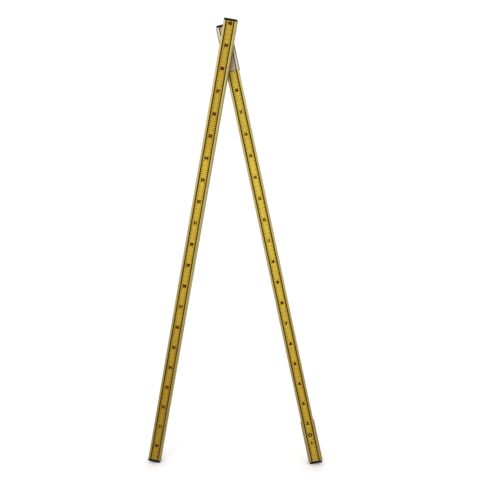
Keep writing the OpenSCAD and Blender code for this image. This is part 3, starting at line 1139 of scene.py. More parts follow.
@dataclass(frozen=True)
class CrossScrew:
    """Screw with a cross recess, made with its head's face at height 0 and its shank below.

    Attributes:
        form: Form of the head.
        head_r: Radius of the head.
        shank_r: Radius of the shank.
        length: Length over all.
        head_t: Thickness of a pan head.
        arm_w: Width of the recess's arms.
        arm_share: Reach of the arms, as a share of the head's radius.
        recess: Depth of the recess.
        taper: Size of the recess's floor, as a share of its mouth.
        split_share: Where a line splits the arms, as a share of their reach.
        ring_shares: Radii of the rings round the cross, as shares of the head's.
        edge: Drop of the head's rounded edge.
        edge_share: Radius at which the edge starts to drop, as a share of the head's.
        tip_share: Radius of the shank's tip, as a share of the shank's.
        tip_run: Length of the taper to the tip, as a share of the shank's radius.
    """

    form: Head
    head_r: float
    shank_r: float
    length: float
    head_t: float = 1.8 * MM
    arm_w: float = 0.8 * MM
    arm_share: float = 0.62
    recess: float = 1.1 * MM
    taper: float = 0.55
    split_share: float = 0.55
    ring_shares: tuple[float, float] = (0.8, 0.93)
    edge: float = 0.12 * MM
    edge_share: float = 0.98
    tip_share: float = 0.6
    tip_run: float = 0.5

    def face(self) -> Shape:
        """Builds the round face of the head with its recess.

        Returns:
            The face, open below.
        """
        reach = self.arm_share * self.head_r
        # A grid's lines, counted from its middle, bound the arms first and then become rings
        lines = (self.arm_w / 2, reach * self.split_share, reach)
        rings = [share * self.head_r for share in self.ring_shares]
        cells = 2 * (len(lines) + len(rings)) - 1
        bm = bmesh.new()
        bmesh.ops.create_grid(bm, x_segments=cells, y_segments=cells, size=1.0)
        for vert in bm.verts:
            steps = [round((abs(part) * cells - 1) / 2) for part in vert.co.xy]
            if max(steps) < len(lines):
                vert.co.xy = [math.copysign(lines[step], part) for step, part in zip(steps, vert.co.xy)]
            else:
                self.put_on_ring(vert, rings[max(steps) - len(lines)])
        cross = [face for face in bm.faces if self.is_recessed(face.calc_center_median(), reach)]
        sunk = bmesh.ops.extrude_face_region(bm, geom=cross)["geom"]
        floor = [item for item in sunk if isinstance(item, bmesh.types.BMVert)]
        bmesh.ops.delete(bm, geom=[face for face in cross if face.is_valid], context="FACES_ONLY")
        bmesh.ops.scale(bm, verts=floor, vec=(self.taper, self.taper, 1.0))
        bmesh.ops.translate(bm, verts=floor, vec=(0.0, 0.0, -self.recess))
        return bm

    @staticmethod
    def put_on_ring(vert: bmesh.types.BMVert, radius: float) -> None:
        """Moves a point of a square's edge to the same share of a circle.

        Args:
            vert: The point.
            radius: Radius of the circle.
        """
        steep = abs(vert.co.y) > abs(vert.co.x)
        major, minor = (vert.co.y, vert.co.x) if steep else (vert.co.x, vert.co.y)
        angle = math.pi / 4 * minor / abs(major)
        place = (math.copysign(radius * math.cos(angle), major), radius * math.sin(angle))
        vert.co.xy = place[::-1] if steep else place

    def is_recessed(self, middle: Vector, reach: float) -> bool:
        """Says whether a cell with this middle lies on the cross."""
        near, far = sorted((abs(middle.x), abs(middle.y)))
        return near < self.arm_w / 4 and far < reach

    def rings_below(self) -> Profile:
        """Gives the rings below the head's face, from its edge to the shank's tip.

        Returns:
            The (radius, height) of each ring.
        """
        rim = [(self.head_r * self.edge_share, -self.edge / 4), (self.head_r, -self.edge)]
        if self.form is Head.COUNTERSUNK:
            neck = [(self.shank_r, self.shank_r - self.head_r)]
        else:
            neck = [(self.head_r, -self.head_t), (self.shank_r, -self.head_t)]
        tip = [
            (self.shank_r, -self.length + self.shank_r * self.tip_run),
            (self.shank_r * self.tip_share, -self.length),
        ]
        return rim + neck + tip

    def build(self) -> Shape:
        """Builds the whole screw.

        Returns:
            The closed shape.
        """
        bm = self.face()
        middle_ring = sum(self.ring_shares) / 2 * self.head_r
        open_edges = [edge for edge in bm.edges if edge.is_boundary]
        edges = [edge for edge in open_edges if edge.verts[0].co.xy.length > middle_ring]
        for radius, height in self.rings_below():
            added = bmesh.ops.extrude_edge_only(bm, edges=edges)["geom"]
            for item in added:
                if isinstance(item, bmesh.types.BMVert):
                    item.co = (*(item.co.xy.normalized() * radius), height)
            edges = [item for item in added if isinstance(item, bmesh.types.BMEdge)]
        bmesh.ops.contextual_create(bm, geom=edges)
        mend(bm, TOUCHING)
        return bm


def recessed_screws(
    node: str,
    form: Head,
    shank_r: float,
    axes: SectionAxes,
    steel: bpy.types.Material,
    faces: Callable[[Vector], Vector] = lambda middle: BACK,
) -> None:
    """Builds the screws of a node.

    Args:
        node: The node. It is hidden.
        form: Form of the heads.
        shank_r: Radius of the shanks.
        axes: Section that they follow.
        steel: Their material.
        faces: Gives the direction that a head faces from the middle of its screw.
    """
    shapes = []
    for low, high in axes.solids(node):
        middle = (low + high) / 2
        out = faces(middle)
        length = abs(out.dot(high - low))
        shape = CrossScrew(form, (high.x - low.x) / 2, shank_r, length).build()
        shape.transform(facing(middle + out * length / 2, out))
        shapes.append(shape)
    stand_in(node, "recessed", joined(shapes), axes, steel)


@dataclass(frozen=True)
class PulledRivet:
    """Blind rivet with a dimpled dome, made with the sheet's face at height 0 and its shank below.

    Attributes:
        head_r: Radius of the head.
        head_t: Height of the dome.
        shank_r: Radius of the shank.
        grip: Thickness of what it holds.
        tail_t: Thickness of the swelled tail.
        tail_swell: How far the tail stands out from the shank.
        tail_slope: Height of the slope from the sheet to the tail's full width.
        tail_edge: Height of the slope to the tail's end.
        tail_end_share: Radius of the tail's end, as a share of the shank's.
        edge_t: Thickness of the head's edge.
        stem_share: Radius of the pulled stem, as a share of the shank's.
        dimple: (share of the stem's radius, share of the head's height) of points up the dimple.
        dome_steps: Steps from the middle to the edge of the dome.
        dimple_steps: How many of them the dimple takes.
    """

    head_r: float
    head_t: float
    shank_r: float
    grip: float
    tail_t: float
    tail_swell: float = 0.8 * MM
    tail_slope: float = 0.3 * MM
    tail_edge: float = 0.4 * MM
    tail_end_share: float = 0.8
    edge_t: float = 0.25 * MM
    stem_share: float = 0.5
    dimple: tuple[Point, ...] = ((0.0, 0.45), (0.8, 0.5), (1.0, 0.85), (1.25, 0.98))
    dome_steps: int = 8
    dimple_steps: int = 2

    def build(self) -> Shape:
        """Builds the rivet.

        Returns:
            The closed shape.
        """
        stem_r = self.shank_r * self.stem_share
        tail_r = self.shank_r + self.tail_swell
        end = -self.grip - self.tail_t
        rise = self.head_t - self.edge_t
        steps = range(self.dimple_steps, self.dome_steps + 1)
        angles = [math.radians(90 * step / self.dome_steps) for step in steps]
        dimple = [(stem_r * out, self.head_t * up) for out, up in self.dimple]
        dome = [(self.head_r * math.sin(a), self.edge_t + rise * math.cos(a)) for a in angles]
        return spun([
            *dimple,
            *dome,
            (self.head_r, 0.0),
            (self.shank_r, 0.0),
            (self.shank_r, -self.grip),
            (tail_r, -self.grip - self.tail_slope),
            (tail_r, end + self.tail_edge),
            (self.shank_r * self.tail_end_share, end),
            (0.0, end),
        ], steps=32)


# Sub-assemblies of the rod


@dataclass(frozen=True)
class ScalePrint:
    """Ticks and numerals on one section's scale strip.

    Attributes:
        axes: Section that carries the strip.
        first_reading_mm: Reading at the section's foot.
        numerals: Decimetre numerals that the strip carries.
        below_line: True where a numeral hangs below its line, False where it stands on it.
        numeral_pitch_mm: Distance from numeral to numeral.
        tick_pitch_mm: Distance from tick to tick.
        short_tick_mm: Length of the ticks at the odd centimetres.
        long_tick_mm: Length of the ticks at the even centimetres.
        tick_w_mm: Width of the ticks.
        ink_mm: Thickness of the ink above the strip.
        sink_mm: How far the ink reaches into the strip.
        digit_h_mm: Height of the digits before they are made bold.
        digit_gap: Spacing of the digits, 1 for the font's own.
        digit_squeeze: Width of the digits, 1 for the font's own.
        lone_digit_squeeze: The same for a numeral of one digit.
        digit_bold_mm: How far a digit's outline moves out.
        digit_steps: Steps of each curve in a digit's outline.
        overprint_mm: Shift of the four prints that make each numeral bold.
        layer_mm: How far each print lies above the one before it.
        line_gap_mm: Gap between a numeral and its line, less than 0 where they overlap.
        end_gap_mm: Least gap between a numeral and the strip's upper end.
        end_line_mm: Width of the line across the strip's upper end, 0 for none.
    """

    axes: SectionAxes
    first_reading_mm: float
    numerals: range
    below_line: bool
    numeral_pitch_mm: float = 100.0
    tick_pitch_mm: float = 10.0
    short_tick_mm: float = 7.0
    long_tick_mm: float = 10.5
    tick_w_mm: float = 2.4
    ink_mm: float = 0.06
    sink_mm: float = 0.02
    digit_h_mm: float = 13.0
    digit_gap: float = 1.06
    digit_squeeze: float = 0.9
    lone_digit_squeeze: float = 1.35
    digit_bold_mm: float = 0.7
    digit_steps: int = 4
    overprint_mm: float = 0.75
    layer_mm: float = 0.01
    line_gap_mm: float = -0.8
    end_gap_mm: float = 1.0
    end_line_mm: float = 0.0

    @property
    def label(self) -> str:
        """First word of the pieces' names."""
        return self.axes.body

    def strip(self) -> tuple[Vector, Vector]:
        """Gives the strip's lowest and highest (across, depth, along)."""
        return self.axes.span(f"{self.label}_scale")

    def ticks(self) -> Shape:
        """Builds a short tick each odd centimetre and a long one each even centimetre, on both edges.

        Returns:
            The ticks in the row frame.
        """
        low, high = self.strip()
        first = math.ceil((low.z / MM + self.first_reading_mm) / self.tick_pitch_mm)
        last = math.floor((high.z / MM + self.first_reading_mm) / self.tick_pitch_mm)
        bm = bmesh.new()
        for step in range(first, last + 1):
            height = (step * self.tick_pitch_mm - self.first_reading_mm) * MM
            length = (self.long_tick_mm if step % 2 == 0 else self.short_tick_mm) * MM
            if min(height - low.z, high.z - height) < self.tick_w_mm * MM / 2:
                continue
            for side in Side:
                edge = high.x if side is Side.RIGHT else low.x
                middle = Vector((edge - side.value * length / 2, low.y, height))
                self.add_line(bm, middle, length, self.tick_w_mm * MM)
        if self.end_line_mm:
            end = Vector(((low.x + high.x) / 2, low.y, high.z - self.end_line_mm * MM / 2))
            self.add_line(bm, end, high.x - low.x, self.end_line_mm * MM)
        bm.transform(self.axes.matrix())
        return bm

    def add_line(self, bm: Shape, middle: Vector, length: float, width: float) -> None:
        """Adds one line of ink, a thin plate that stands a little proud of the strip.

        Args:
            bm: Shape to add to, in the section's own axes.
            middle: Middle of the line on the strip's face.
            length: Length of the line, across the strip.
            width: Width of the line, along the strip.
        """
        thick = (self.ink_mm + self.sink_mm) * MM
        size = Matrix.Diagonal((length, thick, width, 1.0))
        shift = Vector((0.0, self.sink_mm * MM - thick / 2, 0.0))
        bmesh.ops.create_cube(bm, size=1.0, matrix=Matrix.Translation(middle + shift) @ size)

    def numeral(self, words: str) -> bpy.types.Mesh:
        """Builds one numeral, centred across and with its foot at 0.

        Args:
            words: The numeral.

        Returns:
            Its mesh, flat in X and Z with its front towards -Y.
        """
        curve = bpy.data.curves.new(f"{self.label}_{words}", "FONT")
        curve.body = words
        curve.align_x = "CENTER"
        curve.space_character = self.digit_gap
        curve.resolution_u = self.digit_steps
        # The digits are measured at size 1 and then brought to their height
        curve.size = 1.0
        probe = bpy.data.objects.new(curve.name, curve)
        flat = bpy.data.meshes.new_from_object(probe)
        low, high = limits(vert.co for vert in flat.vertices)
        bpy.data.meshes.remove(flat)
        curve.size = self.digit_h_mm * MM / (high.y - low.y)
        curve.offset = self.digit_bold_mm * MM
        curve.extrude = (self.ink_mm + self.sink_mm) * MM / 2
        mesh = bpy.data.meshes.new_from_object(probe)
        bpy.data.objects.remove(probe)
        bpy.data.curves.remove(curve)
        squeeze = self.digit_squeeze if len(words) > 1 else self.lone_digit_squeeze
        upright = Matrix.Rotation(math.radians(90), 4, "X")
        mesh.transform(upright @ Matrix.Diagonal((squeeze, 1.0, 1.0, 1.0)))
        low, high = limits(vert.co for vert in mesh.vertices)
        mesh.transform(Matrix.Translation((-(low.x + high.x) / 2, 0.0, -low.z)))
        return mesh

    def digits(self) -> Shape:
        """Builds all numerals of the strip, each overprinted at the four corners of a small square.

        Returns:
            The numerals in the row frame.
        """
        low, high = self.strip()
        depth = low.y + (self.sink_mm - self.ink_mm) * MM / 2
        gap = self.line_gap_mm * MM
        shift = self.overprint_mm * MM
        bm = bmesh.new()
        for number in self.numerals:
            mesh = self.numeral(str(number))
            tall = max(vert.co.z for vert in mesh.vertices)
            line = (number * self.numeral_pitch_mm - self.first_reading_mm) * MM
            foot = line + (-tall - gap if self.below_line else gap)
            foot = min(foot, high.z - tall - self.end_gap_mm * MM)
            mesh.transform(Matrix.Translation((0.0, depth, foot)))
            for across, along in ((shift, shift), (-2 * shift, 0.0), (0.0, -2 * shift), (2 * shift, 0.0)):
                mesh.transform(Matrix.Translation((across, -self.layer_mm * MM, along)))
                bm.from_mesh(mesh)
            bpy.data.meshes.remove(mesh)
        mend(bm, NEAR)
        bm.transform(self.axes.matrix())
        return bm

    def build(self, ink: bpy.types.Material) -> None:
        """Builds the strip's print."""
        new_piece(f"{self.label}_ticks", self.ticks(), ink, self.axes.body)
        new_piece(f"{self.label}_numerals", self.digits(), ink, self.axes.body)


@dataclass(frozen=True)
class Section:
    """One section of the rod: its extrusion, scale strip, end caps and their screws.

    Attributes:
        axes: The section's own axes.
        metal: Finish of its extrusion.
        film: Finish of its strip.
        scale: Print on the strip.
        screw_shank_r: Radius of the cap screws' shanks.
    """

    axes: SectionAxes
    metal: AnodisedExtrusion
    film: PrintedFilm
    scale: ScalePrint
    screw_shank_r: float = 1.45 * MM

    def build(self) -> None:
        """Dresses the section's nodes, and builds its screws and its print."""
        name = self.axes.body
        dress(self.metal.build(f"anodised_{name}", self.axes), f"{name}_section")
        dress(self.film.build(f"yellow_film_{name}", self.axes), f"{name}_scale")
        plastic = BLACK_PLASTIC.build(f"cap_plastic_{name}", self.axes)
        dress(plastic, f"{name}_top_cap", f"{name}_foot_cap")
        self.cap_screws()
        self.scale.build(PrintInk().build(f"scale_ink_{name}", self.axes))

    def cap_screws(self) -> None:
        """Builds the countersunk screws of both caps, with their heads in the section's ends."""
        name = self.axes.body
        half_way = self.axes.middle(f"{name}_section").z
        steel = ZINC_STEEL.build(f"cap_screw_steel_{name}", self.axes)
        recessed_screws(
            f"{name}_cap_screws",
            Head.COUNTERSUNK,
            self.screw_shank_r,
            self.axes,
            steel,
            lambda middle: Vector((0, 0, math.copysign(1, middle.z - half_way))),
        )


@dataclass(frozen=True)
class Sleeves:
    """The two sleeves on the base section and the rivets that hold them.

    Attributes:
        base: Axes of the base section.
        shank_r: Radius of the rivets' shanks.
        tail_t: Thickness of the rivets' tails.
    """

    base: SectionAxes
    shank_r: float = 2.0 * MM
    tail_t: float = 2.0 * MM

    def build(self) -> None:
        """Dresses the sleeves and builds the rivets."""
        dress(SLEEVE_ALLOY.build("anodised_sleeve", self.base), "upper_sleeve", "lower_sleeve")
        face = self.base.span("lower_sleeve")[1].y
        shapes = []
        for low, high in self.base.solids("sleeve_rivets"):
            grip = face - low.y - self.tail_t
            rivet = PulledRivet((high.x - low.x) / 2, high.y - face, self.shank_r, grip, self.tail_t)
            middle = (low + high) / 2
            shape = rivet.build()
            shape.transform(facing(Vector((middle.x, face, middle.z)), BACK))
            shapes.append(shape)
        alloy = BRIGHT_ALLOY.build("rivet_alloy", self.base)
        stand_in("sleeve_rivets", "pulled", joined(shapes), self.base, alloy)


@dataclass(frozen=True)
class ClosingLatch:
    """Push-in latch of the closed rod, with the block on the front section that catches its bolt.

    Attributes:
        base: Axes of the base section, which carries the bush, the bolt and the thumb knob.
        front: Axes of the front section, which carries the block.
        collar_step: Step from the bush's collar to its barrel.
        collar_round: Radius of the collar's edge.
        lead_in: Width of the chamfer at the bore's mouth.
        thread_pitch: Pitch of the thread under the nut.
        thread_depth: Depth of that thread.
        thread: (share of the pitch, share of the depth) of points down one turn of it.
        bore_gap: Gap round the bolt.
        ridges: Number of ridges round the thumb knob.
        ridge_depth: Depth of the ridges.
        waist: Step from the thumb knob's rim to its waist.
        waist_dip: Depth of the hollow round the waist.
        waist_share: Height of the waist, as a share of the thumb knob's.
        rim_share: Height at which the rim starts, as a share of the thumb knob's.
        edge: Width of the thumb knob's chamfers.
        edge_cut: How far the upper chamfer's middle lies in from the corner, as a share of its width.
        well_edge_w: Width of the chamfer round the thumb screw.
        well_edge_h: Height of that chamfer.
        screw_shank_r: Radius of the screws' shanks.
        screw_head_t: Thickness of the thumb screw's head.
        screw_gap: Gap round the thumb screw.
        seat_gap: Gap between the bolt's end and the thumb knob.
        barrel_bevel: Width of the chamfer at the barrel's end.
        thread_start: Plain length before the thread.
    """

    base: SectionAxes
    front: SectionAxes
    collar_step: float = 1.0 * MM
    collar_round: float = 0.55 * MM
    lead_in: float = 0.5 * MM
    thread_pitch: float = 1.0 * MM
    thread_depth: float = 0.4 * MM
    thread: tuple[Point, ...] = ((0.5, 1.0), (0.9, 0.0), (1.0, 0.0))
    bore_gap: float = 0.05 * MM
    ridges: int = 36
    ridge_depth: float = 0.4 * MM
    waist: float = 3.0 * MM
    waist_dip: float = 0.3 * MM
    waist_share: float = 1 / 3
    rim_share: float = 1 / 2
    edge: float = 1.0 * MM
    edge_cut: float = 0.3
    well_edge_w: float = 1.2 * MM
    well_edge_h: float = 0.5 * MM
    screw_shank_r: float = 1.5 * MM
    screw_head_t: float = 1.8 * MM
    screw_gap: float = 0.1 * MM
    seat_gap: float = 0.02 * MM
    barrel_bevel: float = 0.3 * MM
    thread_start: float = 0.2 * MM

    def build(self) -> None:
        """Builds the bush, the thumb knob and the screws, and dresses the rest."""
        plastic = BLACK_PLASTIC.build("latch_plastic", self.base)
        steel = ZINC_STEEL.build("latch_steel", self.base)
        catch_steel = ZINC_STEEL.build("catch_steel", self.front)
        dress(BRONZE.build("latch_bronze", self.base), "latch_bolt")
        dress(SOFT_RUBBER.build("latch_rubber", self.base), "latch_o_ring")
        dress(steel, "latch_nut")
        dress(catch_steel, "catch_block")
        self.bush(plastic)
        self.thumb_knob(plastic)
        shank_r = self.screw_shank_r
        recessed_screws("thumb_screw", Head.PAN, shank_r, self.base, steel)
        recessed_screws("catch_screws", Head.COUNTERSUNK, shank_r, self.front, catch_steel)

    def bush(self, plastic: bpy.types.Material) -> None:
        """Builds the bush, with a rounded collar round the bolt and a threaded barrel.

        Args:
            plastic: Its material.
        """
        low, high = self.base.span("latch_bush")
        collar_r = self.base.radius("latch_bush")
        barrel_r = collar_r - self.collar_step
        bore_r = self.base.radius("latch_bolt") + self.bore_gap
        end = low.y - high.y
        seat = low.y - self.base.span("base_scale")[1].y
        crest = low.y - self.base.span("lower_sleeve")[1].y
        profile = [(bore_r, -self.lead_in), (bore_r + self.lead_in, 0.0)]
        profile += upper_round(collar_r, 0.0, self.collar_round)
        profile += [(collar_r, seat), (barrel_r, seat), (barrel_r, crest)]
        crest -= self.thread_start
        while crest - self.thread_pitch > end:
            profile += [
                (barrel_r - self.thread_depth * sunk, crest - self.thread_pitch * down)
                for down, sunk in self.thread
            ]
            crest -= self.thread_pitch
        bevel = self.barrel_bevel
        profile += [(barrel_r, end + bevel), (barrel_r - bevel, end), (bore_r, end)]
        shape = spun(profile, steps=64)
        middle = self.base.middle("latch_bush")
        shape.transform(facing(Vector((middle.x, low.y, middle.z)), -BACK))
        stand_in("latch_bush", "turned", shape, self.base, plastic)

    def thumb_knob(self, plastic: bpy.types.Material) -> None:
        """Builds the thumb knob, ridged round its rim and hollow for the bolt and its screw.

        Args:
            plastic: Its material.
        """
        low, high = self.base.span("thumb_knob")
        rim_r = self.base.radius("thumb_knob")
        waist_r = rim_r - self.waist
        tall = high.y - low.y
        waist_top = tall * self.waist_share
        rim_foot = tall * self.rim_share
        cut = self.edge * self.edge_cut
        bolt_r = self.base.radius("latch_bolt") + self.bore_gap
        head_r = self.base.radius("thumb_screw") + self.screw_gap
        hole_r = self.screw_shank_r + self.screw_gap
        seat = self.base.span("latch_bolt")[1].y - low.y + self.seat_gap
        head_floor = self.base.span("thumb_screw")[1].y - self.screw_head_t - low.y
        shape = spun([
            (bolt_r, seat),
            (bolt_r, 0.0),
            (waist_r, 0.0),
            (waist_r - self.waist_dip, waist_top / 2),
            (waist_r, waist_top),
            (rim_r - self.edge, rim_foot),
            (rim_r, rim_foot + self.edge),
            (rim_r, tall - self.edge),
            (rim_r - cut, tall - cut),
            (rim_r - self.edge, tall),
            (head_r + self.well_edge_w, tall),
            (head_r, tall - self.well_edge_h),
            (head_r, head_floor),
            (hole_r, head_floor),
            (hole_r, seat),
        ], steps=self.ridges * 4)
        for vert in shape.verts:
            if vert.co.xy.length > rim_r - self.edge * 0.5:
                wave = math.cos(self.ridges * math.atan2(vert.co.y, vert.co.x))
                vert.co.xy *= 1 - self.ridge_depth * (0.5 - 0.5 * wave) / rim_r
        bmesh.ops.recalc_face_normals(shape, faces=shape.faces)
        middle = self.base.middle("thumb_knob")
        shape.transform(facing(Vector((middle.x, low.y, middle.z)), BACK))
        stand_in("thumb_knob", "ridged", shape, self.base, plastic)


@dataclass(frozen=True)
class SlideSwivel:
    """Shoe that slides in the front section's channel and swivels on the base section.

    Attributes:
        base: Axes of the base section.
        front: Axes of the front section.
    """

    base: SectionAxes
    front: SectionAxes

    def build(self) -> None:
        """Dresses the shoe, its pads, the swivel's stud and discs, and the slide's bumpers."""
        dress(BRIGHT_ALLOY.build("shoe_alloy", self.front), "slide_shoe")
        dress(WAXY_PLASTIC.build("waxy_plastic", self.front), "glide_pads")
        dress(BRONZE.build("swivel_bronze", self.base), "pivot_bush")
        dress(FRICTION_FIBRE.build("friction_fibre", self.front), "friction_disc")
        steel = ZINC_STEEL.build("swivel_steel", self.front)
        dress(steel, "swivel_stud", "thrust_washer", "disc_spring")
        dress(SOFT_RUBBER.build("bumper_rubber", self.front), "upper_bumper", "lower_bumper")


@dataclass(frozen=True)
class LockKnob:
    """Fluted lock knob with a dished face and a cover disc in its middle, and its bronze insert.

    Attributes:
        axes: Section whose frame it is measured in.
        flutes: Number of flutes.
        flute_r: Radius of the flutes.
        rim_round: Radius of the rim's edges.
        dish: Depth of the dished face.
        slope: (share of the rim's radius, share of the dish's depth) of points down its slope.
        cover_r: Radius of the cover disc.
        gap: Width and depth of the gap round the cover disc.
        cover_edge: (out, up) of points across that gap, from the disc's radius and the face, as
            shares of the gap.
        hub_share: Share of the rim's radius within which the flutes don't reach.
        flute_run: Share of the rim's radius over which they come in.
        insert_gap: Gap round the insert.
        slack: Tolerance when the bottoms of the CAD knob's flutes are found.
    """

    axes: SectionAxes
    flutes: int = 6
    flute_r: float = 9.0 * MM
    rim_round: float = 2.0 * MM
    dish: float = 1.2 * MM
    slope: tuple[Point, ...] = ((0.84, 0.8), (0.78, 0.5), (0.72, 0.2), (0.68, 0.0))
    cover_r: float = 9.5 * MM
    gap: float = 0.6 * MM
    cover_edge: tuple[Point, ...] = ((1, 0), (0.8, -1), (0, -1), (-1 / 6, 0.2), (-5 / 6, 0.5))
    hub_share: float = 0.6
    flute_run: float = 0.3
    insert_gap: float = 0.02 * MM
    slack: float = 0.1 * MM

    def profile(self, rim_r: float, tall: float, bore_r: float, bore_depth: float) -> Profile:
        """Gives the knob's profile, from the bore's end to the middle of the face.

        Args:
            rim_r: Radius over the lobes.
            tall: Height of the knob.
            bore_r: Radius of the insert's bore.
            bore_depth: Depth of that bore.

        Returns:
            Its (radius, height) points.
        """
        face = tall - self.dish
        over = upper_round(rim_r, tall, self.rim_round, steps=6)
        under = [(radius, tall - height) for radius, height in over]
        slope = [
            (rim_r * share, face + self.dish * (0.5 - 0.5 * math.cos(math.pi * rise)))
            for share, rise in self.slope
        ]
        cover = [(self.cover_r + self.gap * out, face + self.gap * up) for out, up in self.cover_edge]
        bore = [(0.0, bore_depth), (bore_r, bore_depth), (bore_r, 0.0)]
        return [*bore, *under, *reversed(over), *slope, *cover, (0.0, face + self.gap)]

    def cut_flutes(self, shape: Shape, rim_r: float, first_flute: float) -> None:
        """Moves the wall of a round knob in to the flutes.

        Args:
            shape: The knob, with its axis along Z.
            rim_r: Radius over the lobes.
            first_flute: Angle of one flute's middle.
        """
        pitch = 2 * math.pi / self.flutes
        flute_at = rim_r + self.flute_r / 2
        for vert in shape.verts:
            radius = vert.co.xy.length
            # Angle from the nearest flute's middle, and where a ray at that angle meets its circle
            off = (math.atan2(vert.co.y, vert.co.x) - first_flute + pitch / 2) % pitch - pitch / 2
            room = self.flute_r ** 2 - (flute_at * math.sin(off)) ** 2
            if radius < self.hub_share * rim_r or room <= 0:
                continue
            wall = min(rim_r, flute_at * math.cos(off) - math.sqrt(room))
            share = min(1.0, (radius / rim_r - self.hub_share) / self.flute_run)
            vert.co.xy *= (radius - (rim_r - wall) * share) / radius

    def build(self) -> None:
        """Builds the knob and dresses its insert."""
        dress(BRONZE.build("insert_bronze", self.axes), "knob_insert")
        low, high = self.axes.span("lock_knob")
        middle = self.axes.middle("knob_insert")
        place = facing(Vector((middle.x, low.y, middle.z)), BACK)
        to_knob = (self.axes.matrix() @ place).inverted()
        points = [to_knob @ vert.co for vert in frame["nodes"]["lock_knob"].data.vertices]
        rim_r = max(point.xy.length for point in points)
        wall_r = rim_r - self.flute_r / 2 - self.slack
        wall = [point for point in points if point.xy.length > wall_r]
        inmost = min(wall, key=lambda point: point.xy.length)
        bore_r = self.axes.radius("knob_insert") + self.insert_gap
        bore_depth = self.axes.span("knob_insert")[1].y - low.y
        shape = spun(self.profile(rim_r, high.y - low.y, bore_r, bore_depth), steps=144)
        self.cut_flutes(shape, rim_r, math.atan2(inmost.y, inmost.x))
        bmesh.ops.recalc_face_normals(shape, faces=shape.faces)
        shape.transform(place)
        plastic = BLACK_PLASTIC.build("knob_plastic", self.axes)
        stand_in("lock_knob", "fluted", shape, self.axes, plastic)


# The studio and the whole


@dataclass(frozen=True)
class Studio:
    """Plain pale floor, soft light and the camera at the photograph's place.

    Attributes:
        eye: Place of the camera.
        yaw_deg: Turn of the camera to the left of +Y.
        pitch_deg: Tilt of the camera above the horizon.
        roll_deg: Turn of the camera about its own axis.
        field_deg: Angle of view.
        floor_r: Radius of the floor.
        floor_gap: Gap between the feet and the floor.
        floor_white: Paleness of the floor.
        floor_rough: Roughness of the floor.
        surround: Strength of the white surroundings.
        key_place: Place of the soft light.
        key_lift: Height above the rod's middle that the light faces.
        key_size: Length of the light's sides.
        key_watts: Power of the light.
    """

    eye: tuple[float, float, float] = (-0.228, -2.149, 1.284)
    yaw_deg: float = 3.69
    pitch_deg: float = -5.37
    roll_deg: float = 0.14
    field_deg: float = 55.0
    floor_r: float = 30.0
    floor_gap: float = 0.0005
    floor_white: float = 0.98
    floor_rough: float = 0.9
    surround: float = 1.06
    key_place: tuple[float, float, float] = (-1.6, -2.6, 2.9)
    key_lift: float = 0.6
    key_size: float = 1.6
    key_watts: float = 20.0

    def camera(self) -> None:
        """Makes the camera and sets it on the scene."""
        data = bpy.data.cameras.new("camera")
        data.angle = math.radians(self.field_deg)
        camera = in_scene(data, "camera")
        camera.location = self.eye
        turn = (90 + self.pitch_deg, self.roll_deg, self.yaw_deg)
        camera.rotation_euler = [math.radians(angle) for angle in turn]
        bpy.context.scene.camera = camera

    def floor(self) -> None:
        """Makes the floor just below the rod's feet."""
        bm = bmesh.new()
        bmesh.ops.create_circle(bm, cap_ends=True, segments=96, radius=self.floor_r)
        bmesh.ops.translate(bm, verts=bm.verts, vec=(0.0, 0.0, CAD_BOX[0].z - self.floor_gap))
        mesh = mesh_of(bm, "floor")
        material = bpy.data.materials.new("studio_floor")
        material.use_nodes = True
        shader = material.node_tree.nodes["Principled BSDF"]
        shader.inputs["Base Color"].default_value = (*(self.floor_white,) * 3, 1.0)
        shader.inputs["Roughness"].default_value = self.floor_rough
        mesh.materials.append(material)
        floor = in_scene(mesh, "floor")

    def key_light(self) -> None:
        """Makes the square soft light, on the left in front of the rod."""
        data = bpy.data.lights.new("key", "AREA")
        data.size = self.key_size
        data.energy = self.key_watts
        light = in_scene(data, "key")
        place = Vector(self.key_place)
        aim = (CAD_BOX[0] + CAD_BOX[1]) / 2 + Vector((0, 0, self.key_lift))
        light.location = place
        light.rotation_euler = (aim - place).to_track_quat("-Z", "Y").to_euler()

    def surroundings(self) -> None:
        """Makes the white surroundings."""
        world = bpy.data.worlds.new("white_surroundings")
        world.use_nodes = True
        backdrop = world.node_tree.nodes["Background"]
        backdrop.inputs["Color"].default_value = (1.0, 1.0, 1.0, 1.0)
        backdrop.inputs["Strength"].default_value = self.surround
        bpy.context.scene.world = world

    def build(self) -> None:
        """Sets up the whole studio."""
        scene = bpy.context.scene
        scene.view_settings.view_transform = "Standard"
        scene.view_settings.look = "None"
        self.floor()
        self.key_light()
        self.surroundings()
        self.camera()


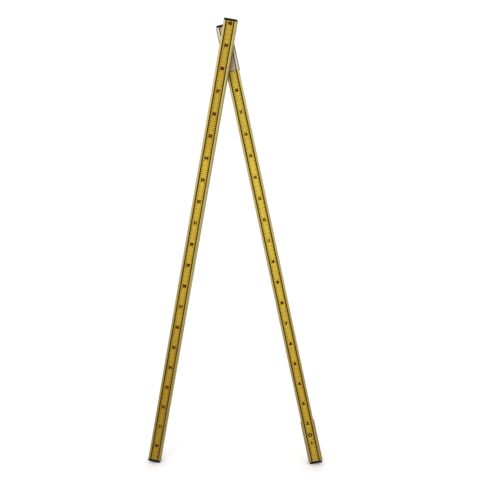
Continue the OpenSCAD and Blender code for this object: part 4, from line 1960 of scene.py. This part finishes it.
@dataclass(frozen=True)
class Rod:
    """The whole levelling rod: two sections and what joins them.

    Attributes:
        base: Axes of the base section.
        front: Axes of the front section.
        front_reading_mm: Reading at the front section's foot when it is run out.
    """

    base: SectionAxes
    front: SectionAxes
    front_reading_mm: float

    @classmethod
    def from_frame(cls) -> "Rod":
        """Finds both sections' axes and the front section's first reading in the frame.

        Returns:
            The rod.
        """
        foot = next(mount for mount in frame["record"]["mounts"] if mount["name"] == "foot")
        slide = joint("front_slide")
        base = SectionAxes.on(-Vector(foot["axis"]), "base", "base_section", "base_foot_cap")
        front = SectionAxes.on(Vector(slide["axis"]), "front", "front_section", "front_foot_cap")
        pivot = Vector(joint("swivel_turn")["pos_m"])
        base_pivot = (base.matrix().inverted() @ pivot).z
        front_pivot = (front.matrix().inverted() @ pivot).z
        foot_below_pivot = front_pivot - slide["range_m"][1]
        return cls(base, front, round((base_pivot - foot_below_pivot) / MM, 1))

    def base_section(self) -> Section:
        """Describes the base section, with bare metal above its strip.

        Returns:
            The section.
        """
        strip = self.base.span("base_scale")[1] / MM
        metal = AnodisedExtrusion(
            # Painted shade on both sides of the base section
            side_from_mm=self.base.radius("base_section") / MM,
            # Painted shade in the grooves beside the strip
            grooves=PaintedGrooves(strip.x),
            bare=BareZone(strip.z),
        )
        film = PrintedFilm(
            yellow=tone(205, 178, 62),
            deep=tone(197, 168, 56),
            # Weaker painted shade towards the base film's foot
            soil=replace(FILM_FOOT_SHADE, share=0.55, colour=tone(136, 92, 8)),
            handled_share=0.25,
            # Painted shadow ring round the latch's collar, 1.8 mm wider than it
            ring_at_mm=self.base.middle("latch_bush").z / MM,
            ring_r_mm=self.base.radius("latch_bush") / MM + 1.8,
        )
        scale = ScalePrint(
            self.base,
            first_reading_mm=0.0,
            numerals=range(1, 19),
            below_line=False,
            digit_gap=1.0,
            digit_squeeze=0.74,
            digit_bold_mm=0.8,
            line_gap_mm=-2.6,
            end_line_mm=3.0,
        )
        return Section(self.base, metal, film, scale)

    def front_section(self) -> Section:
        """Describes the front section, whose readings go on above the base section's.

        Returns:
            The section.
        """
        metal = AnodisedExtrusion(
            # Stronger painted shade towards the front section's foot
            soil=replace(METAL_FOOT_SHADE, share=0.8),
            # Painted shade on the sides, and on a 5 mm band along the right rail's edge
            side_from_mm=self.front.radius("front_section") / MM,
            side_lap_mm=5.0,
            # Painted shade in the grooves beside the strip
            grooves=PaintedGrooves(self.front.radius("front_scale") / MM),
        )
        scale = ScalePrint(self.front, self.front_reading_mm, range(20, 41), below_line=True)
        return Section(self.front, metal, PrintedFilm(), scale)

    def build(self) -> None:
        """Builds and dresses every sub-assembly in order."""
        log.info("the front section's foot reads %.1f mm when run out", self.front_reading_mm)
        parts = (
            self.base_section(),
            self.front_section(),
            Sleeves(self.base),
            ClosingLatch(self.base, self.front),
            SlideSwivel(self.base, self.front),
            LockKnob(self.front),
        )
        for part in parts:
            log.info("sub-assembly %s", type(part).__name__)
            part.build()


def main() -> None:
    """Builds the rod and its studio."""
    logging.basicConfig(level=logging.INFO, format="%(message)s")
    Rod.from_frame().build()
    Studio().build()


if __name__ == "__main__":
    main()
